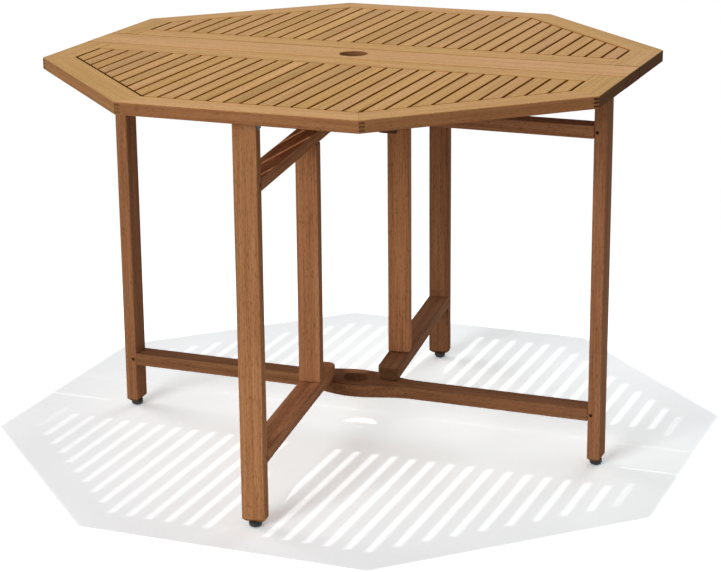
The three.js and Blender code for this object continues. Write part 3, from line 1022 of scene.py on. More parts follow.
@dataclass(frozen=True)
class Glide:
    """A moulded glide under a leg: a low drum with a bevelled, softly rounded foot and a groove."""

    width: float = 23.0
    height: float = 10.7
    flat: float = 14.0
    bevel: float = 4.0
    dish: float = 0.4
    dish_rim: float = 2.2
    rim: float = 1.6
    toe_run: float = 1.2
    toe_rise: float = 0.35
    bend_run: float = 0.5
    bend_rise: float = 0.6
    shoulder_run: float = 0.25
    groove_low: float = 2.6
    groove_high: float = 1.6
    groove_slope: float = 0.3
    groove_depth: float = 0.5
    arris: float = 0.4
    sides: int = 48

    def shape(self) -> Shape:
        """The glide on the floor about local z.

        Returns:
            The closed shape.
        """
        radius, flat = self.width / 2, self.flat / 2
        rise = self.bevel * OCTAGON
        side, waist = radius - rise, radius - self.groove_depth
        low, high = self.height - self.groove_low, self.height - self.groove_high
        profile = [
            (0.0, self.dish), (flat - self.dish_rim, self.dish), (flat - self.rim, 0.0), (flat, 0.0),
            (flat + self.toe_run, self.toe_rise), (side - self.bend_run, rise - self.bend_rise), (side, rise),
            (radius - self.shoulder_run, self.bevel - self.bend_rise), (radius, self.bevel),
            (radius, low), (waist, low + self.groove_slope), (waist, high - self.groove_slope),
            (radius, high), (radius, self.height - self.arris), (radius - self.arris, self.height),
            (0.0, self.height),
        ]
        return turned(profile, self.sides)


@dataclass(frozen=True)
class Peg:
    """A dowel driven through a tenon joint, its ends sunk a little below the wood."""

    width: float = 6.0
    length: float = 39.0
    rim: float = 0.5
    bore: float = 6.6
    bore_length: float = 60.0
    sides: int = 24
    tone: float = 0.6
    shade: float = -0.5

    def shape(self) -> Shape:
        """The dowel along local y, its rims rounded.

        Returns:
            The closed shape.
        """
        radius, half = self.width / 2, self.length / 2
        profile = [(0.0, -half), (radius - self.rim, -half), (radius, -half + self.rim),
                   (radius, half - self.rim), (radius - self.rim, half), (0.0, half)]
        return turned(profile, self.sides).placed(ACROSS)

    def hole(self) -> Shape:
        """The rod that cuts its hole, along local y."""
        radius, half = self.bore / 2, self.bore_length / 2
        return turned([(0.0, -half), (radius, -half), (radius, half), (0.0, half)], self.sides).placed(ACROSS)

    def timber(self, along: Vector3) -> Timber:
        """Its wood, with the grain along the dowel and a much darker shade."""
        return Timber(along, UP, self.tone, self.shade)


# Sub-assemblies


@dataclass
class CentreBoard:
    """The fixed board along X with the umbrella hole, and the cleats that hold it on the end legs."""

    shop: Workshop
    half_length: float = 525.0
    half_width: float = 46.25
    low: float = 718.0
    high: float = 740.0
    hole: float = 26.0
    arris: float = 1.2
    cleat_centre: float = 450.7
    cleat_thickness: float = 24.0
    cleat_length: float = 80.0
    cleat_top: float = 717.7
    cleat_arris: float = 1.5
    screw_share: float = 0.6
    leg_screw_share: float = 0.36
    bearing_steps: int = 15

    def build(self) -> None:
        """Makes the board, the cleats and their screws."""
        outline = bearing_outline(lambda x: np.full_like(x, self.half_width), self.half_length,
                                  self.bearing_steps)
        plank = pierced_slab(outline, self.hole, self.low, self.high, self.arris)
        # Its side value paints the board's upright faces darker: painted shade.
        self.shop.piece("umbrella_plank", plank, Body.FRAME, Slot.TOP_WOOD, ("centre_board",),
                        Timber(ALONG_X, tone=0.72, shade=0.02, side=-0.25, bore=self.hole, hidden=LONG_EDGES))
        for side, sign in (("left", -1), ("right", 1)):
            self.cleat(side, sign)

    def cleat(self, side: str, sign: int) -> None:
        """Makes one cleat, with two screws up into the board and two into the leg.

        Args:
            side: Name of the end of the table.
            sign: Its direction along X.
        """
        thick, half = self.cleat_thickness, self.cleat_length / 2
        low = self.cleat_top - thick
        at = Place((sign * self.cleat_centre, 0.0, low + thick / 2))
        block = stick(thick, thick, -half, half, self.cleat_arris).placed(ACROSS).placed(at)
        self.shop.piece(f"{side}_fixing_block", block, Body.FRAME, Slot.FRAME_WOOD, (f"{side}_board_cleat",),
                        Timber(ALONG_Y, tone=0.4, shade=-0.04))
        head = Screw().shape()
        inward = Place(x=ALONG_Y, y=(0.0, 0.0, float(-sign)), z=(float(-sign), 0.0, 0.0))
        face = sign * (self.cleat_centre - thick / 2)
        screws = []
        for end in (-half, half):
            spot = (sign * self.cleat_centre, end * self.screw_share, low)
            screws.append(head.placed(UNDER).placed(Place(spot)))
            spot = (face, end * self.leg_screw_share, low + thick / 2)
            screws.append(head.placed(inward).placed(Place(spot)))
        self.shop.piece(f"{side}_fixing_block_screws", Shape.joined(screws), Body.FRAME, Slot.STEEL)


@dataclass(frozen=True)
class RailPlan:
    """One outer rail of a leaf.

    Args:
        kind: Its name within the leaf.
        corners: 4 x 2 points in plan: outer start, outer end, inner end, inner start.
        joints: The joints at the start and at the end.
        ways: Direction of the neighbour beyond the start and beyond the end.
        along: Direction of its grain.
        tone: 0 is golden and 1 is rosy.
        shade: Change in brightness of its upper face.
        side: Change in brightness of its edges, painted light and shade.
    """

    kind: str
    corners: np.ndarray
    joints: tuple[Joint, Joint]
    ways: tuple[np.ndarray, np.ndarray]
    along: Vector3
    tone: float
    shade: float
    side: float

    def run(self) -> np.ndarray:
        """Unit vector from its start to its end."""
        run = self.corners[1] - self.corners[0]
        return run / np.linalg.norm(run)

    def inward(self) -> Vector3:
        """Unit normal of its inner edge.

        Returns:
            The run turned by a quarter, towards the inner corners.
        """
        run = self.run()
        normal = np.array([-run[1], run[0], 0.0])
        return tuple(normal * np.sign(normal[:2] @ (self.corners[3] - self.corners[0])))


@dataclass
class TopLeaf:
    """A drop leaf: a mitred and finger-jointed frame of rails round a field of slats on a ledger.

    Built as the front leaf and turned half round for the rear one.
    """

    shop: Workshop
    name: str
    body: Body
    right: str
    left: str
    place: Place
    across: float = 525.0
    rail_width: float = 55.0
    seam: float = 48.75
    low: float = 718.0
    high: float = 740.0
    outer_arris: float = 1.8
    inner_arris: float = 0.5
    mitre_gap: float = 0.15
    finger_thickness: float = 3.3
    finger_count: int = 3
    finger_reach: float = 10.0
    finger_gap: float = 0.3
    groove_low: float = 730.7
    groove_high: float = 734.6
    groove_depth: float = 6.3
    seam_rail_gap: float = 0.3
    slat_count: int = 31
    slat_gap: float = 4.4
    slat_low: float = 728.0
    slat_end: float = 2.8
    left_slack: float = 1.1
    slat_arris: float = 1.6
    slat_bevel: float = 0.5
    sawn_share: float = 0.3
    least_run: float = 0.3
    slat_tone: float = 0.36
    tone_spread: float = 0.17
    shade_spread: float = 0.05
    tongue: float = 6.0
    tongue_low: float = 731.0
    tongue_high: float = 734.3
    ledger_width: float = 20.0
    ledger_low: float = 718.3
    ledger_high: float = 727.8
    ledger_gap: float = 0.3
    ledger_arris: float = 1.2
    screw_sides: int = 10
    hinge_x: float = 300.0
    corner: float = field(init=False)
    field_half: float = field(init=False)
    field_corner: float = field(init=False)
    field_start: float = field(init=False)

    def __post_init__(self) -> None:
        """Works out the octagon's corners and the field of slats.

        Formula: a corner lies at half the octagon's width times the tangent of 22.5 degrees.
        """
        self.field_half = self.across - self.rail_width
        self.corner = self.across * OCTAGON
        self.field_corner = self.field_half * OCTAGON
        self.field_start = self.seam + self.rail_width

    def build(self) -> None:
        """Makes the leaf's pieces."""
        self.build_rails()
        self.build_slats()
        self.build_ledger()
        for side, sign in ((self.right, 1), (self.left, -1)):
            hinge = Hinge(self.shop, f"{self.name}_{side}", self.body)
            hinge.build(Place((sign * self.hinge_x, -hinge.pin_y, hinge.pin_z)).within(self.place))

    def finger_depths(self, grow: float) -> list[tuple[float, float]]:
        """Heights between which each finger lies.

        Formula: the fingers stand at an even pitch about the rail's middle height.

        Args:
            grow: What is added above and below a finger, for the slot that takes it.

        Returns:
            Low and high of each finger.
        """
        pitch = (self.high - self.low - self.finger_thickness) / self.finger_count
        middle = (self.low + self.high) / 2
        centres = [middle + pitch * (i - (self.finger_count - 1) / 2) for i in range(self.finger_count)]
        half = self.finger_thickness / 2 + grow
        return [(centre - half, centre + half) for centre in centres]

    def at_finger(self, height: float, grow: float) -> bool:
        """Whether a height lies in a finger that is made thicker by grow."""
        return any(low < height < high for low, high in self.finger_depths(grow))

    def layer(self, plan: RailPlan, height: float, inset: float, probe: float) -> np.ndarray:
        """One layer's outline of a rail.

        Formula: the quadrilateral outer start, outer end, inner end, inner start. In the groove's layers its
        inner edge moves out. A mitred end stands back by the mitre gap; where it takes a finger it stands
        back by the finger's reach; where it gives one, two more points run on into the neighbour.

        Args:
            plan: The rail.
            height: Height of the layer.
            inset: Inset of its outer edge.
            probe: Height that tells whether it is at the groove or at a finger.

        Returns:
            8 x 3 points.
        """
        base = plan.corners.copy()
        if self.groove_low < probe < self.groove_high:
            share = self.groove_depth / self.rail_width
            base[3] += (plan.corners[0] - plan.corners[3]) * share
            base[2] += (plan.corners[1] - plan.corners[2]) * share
        start_inset, end_inset = (inset if joint is Joint.SQUARE else 0.0 for joint in plan.joints)
        share = self.inner_arris / self.outer_arris
        base = inset_outline(base, np.array([inset, end_inset * share, inset * share, start_inset * share]))
        tips = base.copy()
        for joint, way, pair, sign in zip(plan.joints, plan.ways, ([0, 3], [1, 2]), (1.0, -1.0)):
            if joint is Joint.SQUARE:
                continue
            gives = joint is Joint.GIVES and self.at_finger(probe, 0.0)
            takes = joint is Joint.TAKES and self.at_finger(probe, self.finger_gap)
            back = 0.0 if gives else self.mitre_gap
            if takes:
                back = self.finger_reach + self.finger_gap
            base[pair] += sign * plan.run() * back
            tips[pair] = base[pair]
            if gives:
                tips[pair] += way * self.finger_reach
        order = [tips[0], base[0], base[1], tips[1], tips[2], base[2], base[3], tips[3]]
        return level(np.array(order), height)

    def rail(self, plan: RailPlan) -> Shape:
        """A rail as a stack of thin layers, each with its own outline.

        Args:
            plan: The rail.

        Returns:
            The closed shape.
        """
        marks = {self.low, self.high, self.groove_low, self.groove_high,
                 self.low + self.outer_arris, self.high - self.outer_arris}
        for joint, grow in ((Joint.GIVES, 0.0), (Joint.TAKES, self.finger_gap)):
            if joint in plan.joints:
                marks |= {height for pair in self.finger_depths(grow) for height in pair}
        heights = sorted(marks)
        rounded = list(zip(*round_over(self.outer_arris)))[:-1]
        rings = [self.layer(plan, self.low + rise, inset, self.low) for inset, rise in rounded]
        for start, stop in zip(heights[:-1], heights[1:]):
            if start >= self.low + self.outer_arris and stop <= self.high - self.outer_arris:
                middle = (start + stop) / 2
                rings += [self.layer(plan, start, 0.0, middle), self.layer(plan, stop, 0.0, middle)]
        rings += [self.layer(plan, self.high - rise, inset, self.high) for inset, rise in rounded[::-1]]
        return skin(np.array(rings))

    def plan_rails(self) -> list[RailPlan]:
        """Plans the frame's five outer rails.

        Formula: the corners lie where the octagon's sides and the field's sides turn, and the left rails
        mirror the right ones. The end rails' side values paint their outer edges darker, as painted shade,
        and the other rails' side values paint theirs lighter, as painted light.

        Returns:
            The plans, from the right end rail round to the left one.
        """
        across, reach, corner, field_corner = self.across, self.field_half, self.corner, self.field_corner
        right_end = np.array([(across, -corner), (across, -self.seam), (reach, -self.seam),
                              (reach, -field_corner)])
        right_diagonal = np.array([(corner, -across), (across, -corner), (reach, -field_corner),
                                   (field_corner, -reach)])
        outer = np.array([(-corner, -across), (corner, -across), (field_corner, -reach),
                          (-field_corner, -reach)])
        mirror = np.array([-1.0, 1.0])
        left_end = right_end[[1, 0, 3, 2]] * mirror
        left_diagonal = right_diagonal[[1, 0, 3, 2]] * mirror
        none, along_outer = np.zeros(2), np.array([1.0, 0.0])
        inwards = np.array([-1.0, -1.0]) / math.sqrt(2)
        return [
            RailPlan(f"{self.right}_end", right_end, (Joint.GIVES, Joint.SQUARE), (inwards, none), ALONG_Y,
                     tone=0.1, shade=-0.01, side=-0.5),
            RailPlan(f"{self.right}_diagonal", right_diagonal, (Joint.TAKES, Joint.TAKES), (none, none),
                     (1.0, 1.0, 0.0), tone=0.45, shade=0.01, side=0.28),
            RailPlan("outer", outer, (Joint.TAKES, Joint.GIVES), (none, -inwards), ALONG_X,
                     tone=0.62, shade=0.03, side=0.13),
            RailPlan(f"{self.left}_diagonal", left_diagonal, (Joint.TAKES, Joint.GIVES), (none, along_outer),
                     (-1.0, 1.0, 0.0), tone=0.08, shade=0.0, side=0.14),
            RailPlan(f"{self.left}_end", left_end, (Joint.SQUARE, Joint.GIVES), (none, inwards * mirror),
                     ALONG_Y, tone=0.3, shade=-0.02, side=-0.57),
        ]

    def build_rails(self) -> None:
        """Makes the frame's five outer rails and the rail along the seam."""
        for plan in self.plan_rails():
            along, inward = (tuple(self.place.way(way)) for way in (plan.along, plan.inward()))
            timber = Timber(along, tone=plan.tone, shade=plan.shade, side=plan.side, hidden=(inward,))
            self.shop.piece(f"{self.name}_{plan.kind}_rail", self.rail(plan).placed(self.place), self.body,
                            Slot.TOP_WOOD, (f"{self.name}_leaf_{plan.kind}_rail",), timber)
        end = self.field_half - self.seam_rail_gap
        bar = np.array([(-end, -self.field_start), (end, -self.field_start), (end, -self.seam),
                        (-end, -self.seam)])
        shape = slab(bar, self.low, self.high, self.inner_arris).placed(self.place)
        self.shop.piece(f"{self.name}_seam_rail", shape, self.body, Slot.TOP_WOOD,
                        (f"{self.name}_leaf_inner_rail",),
                        Timber(ALONG_X, tone=0.35, shade=0.01, hidden=LONG_EDGES))

    def diagonal_inset(self, x: np.ndarray | float, inset: float) -> np.ndarray:
        """A slat's distance from the diagonal rail at x: the left rail fits a little looser."""
        return inset + np.where((np.asarray(x) < 0) & (inset > 0), self.left_slack, 0.0)

    def field_reach(self, x: np.ndarray, inset: float) -> np.ndarray:
        """How far out the slats reach.

        Formula: the lesser of the outer rail's and the diagonal rails' inner edges, less the inset.

        Args:
            x: Places along the seam.
            inset: Distance of the slats' ends from the rails.

        Returns:
            The distance from the umbrella's axis at each x.
        """
        slanted_inset = self.diagonal_inset(x, inset) * math.sqrt(2)
        diagonal = self.field_half + self.field_corner - slanted_inset - np.abs(x)
        return np.minimum(self.field_half - inset, diagonal)

    def slat_outline(self, start: float, stop: float, inset: float) -> np.ndarray:
        """A slat in plan, with a point where the outer rail turns into the diagonal rail.

        Args:
            start: Low edge along x.
            stop: High edge along x.
            inset: Distance of its ends from the rails.

        Returns:
            5 x 2 points, anticlockwise.
        """
        bend = self.field_corner + inset - float(self.diagonal_inset(start + stop, inset)) * math.sqrt(2)
        nearest = bend if start + stop > 0 else -bend
        within = start + self.least_run < nearest < stop - self.least_run
        inside = nearest if within else (start + stop) / 2
        x = np.array([start, inside, stop])
        outer = np.column_stack([x, -self.field_reach(x, inset)])
        inner = -self.field_start - inset
        return np.vstack([outer, [(stop, inner), (start, inner)]])

    def slat(self, start: float, stop: float) -> Shape:
        """One slat: square below, tongued at half its thickness, rounded above.

        Formula: a stack of its outline, pushed out in the tongue's layers and inset by the rounding above.
        Its sawn ends get only a share of the rounding.

        Args:
            start: Low edge along x.
            stop: High edge along x.

        Returns:
            The closed shape.
        """
        plain = self.slat_outline(start, stop, self.slat_end)
        tongued = self.slat_outline(start, stop, -self.tongue)
        rounded = list(zip(*round_over(self.slat_arris)))
        edge_shares = np.array([self.sawn_share, self.sawn_share, 1.0, self.sawn_share, 1.0])
        rings = [
            level(inset_outline(plain, self.slat_bevel), self.slat_low),
            level(plain, self.slat_low + self.slat_bevel),
            level(plain, self.tongue_low), level(tongued, self.tongue_low),
            level(tongued, self.tongue_high), level(plain, self.tongue_high),
        ]
        rings += [level(inset_outline(plain, inset * edge_shares), self.high - rise)
                  for inset, rise in rounded[::-1]]
        return skin(np.array(rings))

    def build_slats(self) -> None:
        """Makes the slats, each with a tone of its own."""
        width = (2 * self.field_half - self.slat_gap) / self.slat_count - self.slat_gap
        edges = (ALONG_X, (-1.0, 0.0, 0.0), *LONG_EDGES)
        left_cut = tuple(self.place.way((-math.sqrt(0.5), -math.sqrt(0.5), 0.0)))
        for i in range(self.slat_count):
            start = -self.field_half + self.slat_gap + i * (width + self.slat_gap)
            tone = float(np.clip(self.shop.random.normal(self.slat_tone, self.tone_spread), 0, 1))
            shade = float(self.shop.random.normal(0.0, self.shade_spread))
            shape = self.slat(start, start + width).placed(self.place)
            self.shop.piece(f"{self.name}_slat_{i + 1:02d}", shape, self.body, Slot.TOP_WOOD,
                            (f"{self.name}_leaf_slat_panel",),
                            Timber(ALONG_Y, tone=tone, shade=shade, hidden=edges, deep=(left_cut,)))

    def build_ledger(self) -> None:
        """Makes the ledger under the slats' inner ends, with a screw up into each slat."""
        pitch = (2 * self.field_half - self.slat_gap) / self.slat_count
        centres = -self.field_half + self.slat_gap / 2 + pitch * (np.arange(self.slat_count) + 0.5)
        thick = self.ledger_high - self.ledger_low
        half = self.field_half - self.slat_end
        y = self.field_start + self.ledger_gap + self.ledger_width / 2
        at = Place((0.0, -y, self.ledger_low + thick / 2))
        bar = stick(self.ledger_width, thick, -half, half, self.ledger_arris).placed(LYING).placed(at)
        self.shop.piece(f"{self.name}_slat_ledger", bar.placed(self.place), self.body, Slot.TOP_WOOD,
                        (f"{self.name}_leaf_slat_panel",), Timber(ALONG_X, tone=0.5, shade=-0.05))
        head = Screw(sides=self.screw_sides).shape().placed(UNDER)
        heads = [head.placed(Place((float(x), -y, self.ledger_low))) for x in centres]
        self.shop.piece(f"{self.name}_slat_ledger_screws", Shape.joined(heads).placed(self.place), self.body,
                        Slot.STEEL)


@dataclass
class Hinge:
    """A strip hinge under the seam: board plate, leaf plate, pin and screws."""

    shop: Workshop
    name: str
    leaf_body: Body
    length: float = 50.0
    plate_width: float = 28.0
    plate_thickness: float = 2.0
    knuckle: float = 4.0
    knuckle_gap: float = 0.4
    knuckle_share: float = 0.3
    plate_arris: float = 0.4
    overlap: float = 0.05
    pin_radius: float = 2.0
    pin_head: float = 3.2
    pin_gap: float = 0.3
    head_height: float = 1.2
    dome_run: float = 0.8
    dome_rise: float = 0.9
    pin_y: float = 47.5
    pin_z: float = 713.7
    corner: float = 3.0
    screw_width: float = 7.0
    screw_crown: float = 0.25
    outer_screw_shares: tuple[float, float] = (0.64, 0.48)
    middle_screw_share: float = 0.74
    steps: int = 2
    roll_points: int = 22
    sides: int = 24

    def plate(self, ranges: list[tuple[float, float]]) -> Shape:
        """A plate with rolled knuckles, its pin along local x and the plate towards +y.

        Formula: a knuckle's section is the plate's end run tangentially into three quarters of a circle.

        Args:
            ranges: Where along x the knuckles lie.

        Returns:
            The shape.
        """
        start = self.knuckle + self.knuckle_gap
        depth = self.plate_width - start
        outline = rounded_box_outline(self.length, depth, self.corner) + (0.0, start + depth / 2)
        under = self.knuckle - self.plate_thickness
        shapes = [slab(outline, under, self.knuckle, self.plate_arris, self.steps)]
        angle = np.linspace(math.pi / 2, 2 * math.pi + math.asin(under / self.knuckle), self.roll_points)
        roll = self.knuckle * np.column_stack([np.cos(angle), np.sin(angle)])
        tail = [(start + self.overlap, under), (start + self.overlap, self.knuckle)]
        section = anticlockwise(np.vstack([roll, tail]))
        for low, high in ranges:
            rings = [np.column_stack([np.full(len(section), x), section]) for x in (low, high)]
            shapes.append(skin(np.array(rings)))
        return Shape.joined(shapes)

    def pin(self) -> Shape:
        """The pin along local x, with a domed head at both ends.

        Formula: a rod's profile is the head, the shank and the same head mirrored.

        Returns:
            The closed shape.
        """
        shank = self.length / 2 + self.pin_gap
        end = self.length / 2 + self.head_height
        upper = [(self.pin_radius, shank), (self.pin_head, shank), (self.pin_head, end - self.dome_rise),
                 (self.pin_head - self.dome_run, end), (0.0, end)]
        lower = [(radius, -height) for radius, height in upper[::-1]]
        return turned(lower + upper, self.sides).placed(LYING)

    def build(self, place: Place) -> None:
        """Makes the hinge.

        Args:
            place: Its place, whose x runs along the seam and whose y points to the board.
        """
        half, outer = self.length / 2, self.length * self.knuckle_share
        board = self.plate([(-half, outer - half), (half - outer, half)])
        leaf = self.plate([(outer - half + self.knuckle_gap, half - outer - self.knuckle_gap)])
        turned_round = Place.about_z(math.pi)
        under = self.knuckle - self.plate_thickness
        head = Screw(width=self.screw_width, crown=self.screw_crown).shape().placed(UNDER)
        x, y = half * self.outer_screw_shares[0], self.plate_width * self.outer_screw_shares[1]
        spots = [(-x, y), (0.0, self.plate_width * self.middle_screw_share), (x, y)]
        heads = Shape.joined([head.placed(Place((*spot, under))) for spot in spots])
        for kind, body, shape, node in (
            ("board_strip", Body.FRAME, board, "board_plate"),
            ("leaf_strip", self.leaf_body, leaf.placed(turned_round), "leaf_plate"),
            ("pivot", Body.FRAME, self.pin(), "pin"),
            ("board_screws", Body.FRAME, heads, None),
            ("leaf_screws", self.leaf_body, heads.placed(turned_round), None),
        ):
            nodes = (f"{self.name}_hinge_{node}",) if node else ()
            self.shop.piece(f"{self.name}_hinge_{kind}", shape.placed(place), body, Slot.STEEL, nodes)


@dataclass
class EndFrame:
    """The fixed frame: two end legs, an upper rail and a lower stretcher, pegged together."""

    shop: Workshop
    width: float = 42.0
    thickness: float = 24.0
    leg_x: float = 475.0
    leg_low: float = 11.0
    leg_high: float = 717.7
    foot: float = 5.0
    arris: float = 2.0
    rail_end: float = 462.7
    rail_lows: tuple[float, float] = (89.0, 619.0)
    belly: float = 25.0
    belly_half_length: float = 120.0
    hole: float = 25.0
    peg_x: float = 469.0
    bearing_steps: int = 22

    def half_width(self, x: np.ndarray) -> np.ndarray:
        """Half a rail's width.

        Formula: half the stick's width, plus half the belly times one plus a cosine over the belly's length.

        Args:
            x: Distances along the rail from its middle.

        Returns:
            The half width at each x.
        """
        cosine = np.cos(np.pi * x / self.belly_half_length)
        swell = np.where(np.abs(x) < self.belly_half_length, 1 + cosine, 0.0)
        return self.width / 2 + self.belly * swell / 2

    def build(self) -> None:
        """Makes the legs, rails, pegs and glides."""
        peg = Peg()
        heights = [low + self.thickness / 2 for low in self.rail_lows]
        for side, sign, tone, shade in (("left", -1, 0.62, -0.06), ("right", 1, 0.7, -0.06)):
            leg = stick(self.thickness, self.width, self.leg_low, self.leg_high, self.arris, self.foot)
            spots = [Place((sign * self.peg_x, 0.0, height)) for height in heights]
            holes = Shape.joined([peg.hole().placed(spot) for spot in spots])
            self.shop.piece(f"{side}_end_leg", leg.placed(Place((sign * self.leg_x, 0.0, 0.0))), Body.FRAME,
                            Slot.FRAME_WOOD, (f"{side}_leg",), Timber(UP, ALONG_X, tone, shade), holes)
            for kind, spot in zip(("lower", "upper"), spots):
                self.shop.piece(f"{side}_{kind}_peg", peg.shape().placed(spot), Body.FRAME, Slot.FRAME_WOOD,
                                (f"{side}_leg_{kind}_tenon_pin",), peg.timber(ALONG_Y))
            glide = Glide().shape().placed(Place((sign * self.leg_x, 0.0, 0.0)))
            self.shop.piece(f"{side}_end_glide", glide, Body.FRAME, Slot.BLACK_PLASTIC,
                            (f"{side}_leg_glide",))
        outline = bearing_outline(self.half_width, self.rail_end, self.bearing_steps)
        for name, node, low, tone, shade in (
            # The stretcher's low shade is painted shade under the top.
            ("stretcher", "lower_stretcher", self.rail_lows[0], 0.6, -0.29),
            ("under_top_rail", "upper_frame_rail", self.rail_lows[1], 0.75, -0.03),
        ):
            bar = pierced_slab(outline, self.hole, low, low + self.thickness, self.arris)
            self.shop.piece(name, bar, Body.FRAME, Slot.FRAME_WOOD, (node,),
                            Timber(ALONG_X, tone=tone, shade=shade, bore=self.hole))


@dataclass
class Gate:
    """A swinging gate: leg, post and two rails that hang on pivot pins in the fixed frame.

    Local x runs out along the gate from its pivot, and local y to its left.
    """

    shop: Workshop
    name: str
    body: Body
    place: Place
    leg_tone: float
    leg_shade: float
    post_shade: float
    rail_shade: float
    width: float = 42.0
    thickness: float = 24.0
    leg_x: float = 467.117
    leg_low: float = 11.0
    leg_high: float = 714.4
    foot: float = 5.0
    arris: float = 2.0
    post_x: float = 90.0
    post_low: float = 137.8
    post_high: float = 594.2
    rail_lows: tuple[float, float] = (113.5, 594.5)
    post_tone: float = 0.55
    rail_tone: float = 0.6
    rail_gap: float = 0.3
    tail_radius: float = 19.0
    tail_points: int = 11
    peg_inset: float = 6.0
    cap_low: float = 702.7
    cap_high: float = 717.7
    cap_thickness: float = 3.0
    cap_gap: float = 0.3
    cap_bend: float = 1.0
    cap_bend_points: int = 5
    cap_arris: float = 0.6
    cap_steps: int = 2
    lip_thickness: float = 1.2

    def rail_outline(self) -> np.ndarray:
        """A rail in plan.

        Formula: a rectangle, with a quarter circle of the tail radius at one corner of its tail.

        Returns:
            M x 2 points, anticlockwise.
        """
        half, end = self.width / 2, self.leg_x - self.thickness / 2 - self.rail_gap
        angle = np.linspace(math.pi / 2, math.pi, self.tail_points)
        centre = half - self.tail_radius
        arc = np.column_stack([-centre + self.tail_radius * np.cos(angle),
                               centre + self.tail_radius * np.sin(angle)])
        square = np.array([(-half, -half), (end, -half), (end, half)])
        return np.vstack([square, arc])

    def cap(self) -> Shape:
        """The moulded cap: a plate on the leg's top with a lip down one side.

        Formula: an L in the (y, z) plane, with a rounded outer corner, carried across the leg's thickness.

        Returns:
            The closed shape.
        """
        half = self.width / 2
        lip = half + self.cap_gap
        out = lip + self.lip_thickness
        under = self.cap_high - self.cap_thickness
        angle = np.linspace(0, math.pi / 2, self.cap_bend_points)
        centre = (out - self.cap_bend, self.cap_high - self.cap_bend)
        bend = self.cap_bend * np.column_stack([np.cos(angle), np.sin(angle)]) + centre
        section = np.vstack([[(lip, self.cap_low), (out, self.cap_low)], bend,
                             [(-half, self.cap_high), (-half, under), (lip, under)]])
        plate = slab(section, -self.thickness / 2, self.thickness / 2, self.cap_arris, self.cap_steps)
        return plate.placed(Place((self.leg_x, 0.0, 0.0), ALONG_Y, UP, ALONG_X))

    def build(self) -> None:
        """Makes the gate's pieces."""
        peg = Peg()
        peg_x = self.leg_x - self.thickness / 2 + self.peg_inset
        across, along = tuple(self.place.way(ALONG_Y)), tuple(self.place.way(ALONG_X))
        spots = [Place((peg_x, 0.0, low + self.thickness / 2)) for low in self.rail_lows]
        holes = Shape.joined([peg.hole().placed(spot) for spot in spots]).placed(self.place)
        leg = stick(self.thickness, self.width, self.leg_low, self.leg_high, self.arris, self.foot)
        leg = leg.placed(Place((self.leg_x, 0.0, 0.0))).placed(self.place)
        self.shop.piece(f"{self.name}_swing_leg", leg, self.body, Slot.FRAME_WOOD, (f"{self.name}_gate_leg",),
                        Timber(UP, along, self.leg_tone, self.leg_shade), holes)
        post = stick(self.thickness, self.width, self.post_low, self.post_high, self.arris)
        post = post.placed(Place((self.post_x, 0.0, 0.0))).placed(self.place)
        self.shop.piece(f"{self.name}_swing_post", post, self.body, Slot.FRAME_WOOD,
                        (f"{self.name}_gate_post",), Timber(UP, along, self.post_tone, self.post_shade))
        for kind, low, spot in zip(("lower", "upper"), self.rail_lows, spots):
            bar = slab(self.rail_outline(), low, low + self.thickness, self.arris).placed(self.place)
            self.shop.piece(f"{self.name}_swing_{kind}_rail", bar, self.body, Slot.FRAME_WOOD,
                            (f"{self.name}_gate_{kind}_rail",),
                            Timber(along, tone=self.rail_tone, shade=self.rail_shade))
            self.shop.piece(f"{self.name}_swing_{kind}_peg", peg.shape().placed(spot).placed(self.place),
                            self.body, Slot.FRAME_WOOD, (f"{self.name}_gate_{kind}_tenon_pin",),
                            peg.timber(across))
        self.shop.piece(f"{self.name}_swing_cap", self.cap().placed(self.place), self.body,
                        Slot.BLACK_PLASTIC, (f"{self.name}_gate_leg_cap",))
        glide = Glide().shape().placed(Place((self.leg_x, 0.0, 0.0))).placed(self.place)
        self.shop.piece(f"{self.name}_swing_glide", glide, self.body, Slot.BLACK_PLASTIC,
                        (f"{self.name}_gate_leg_glide",))


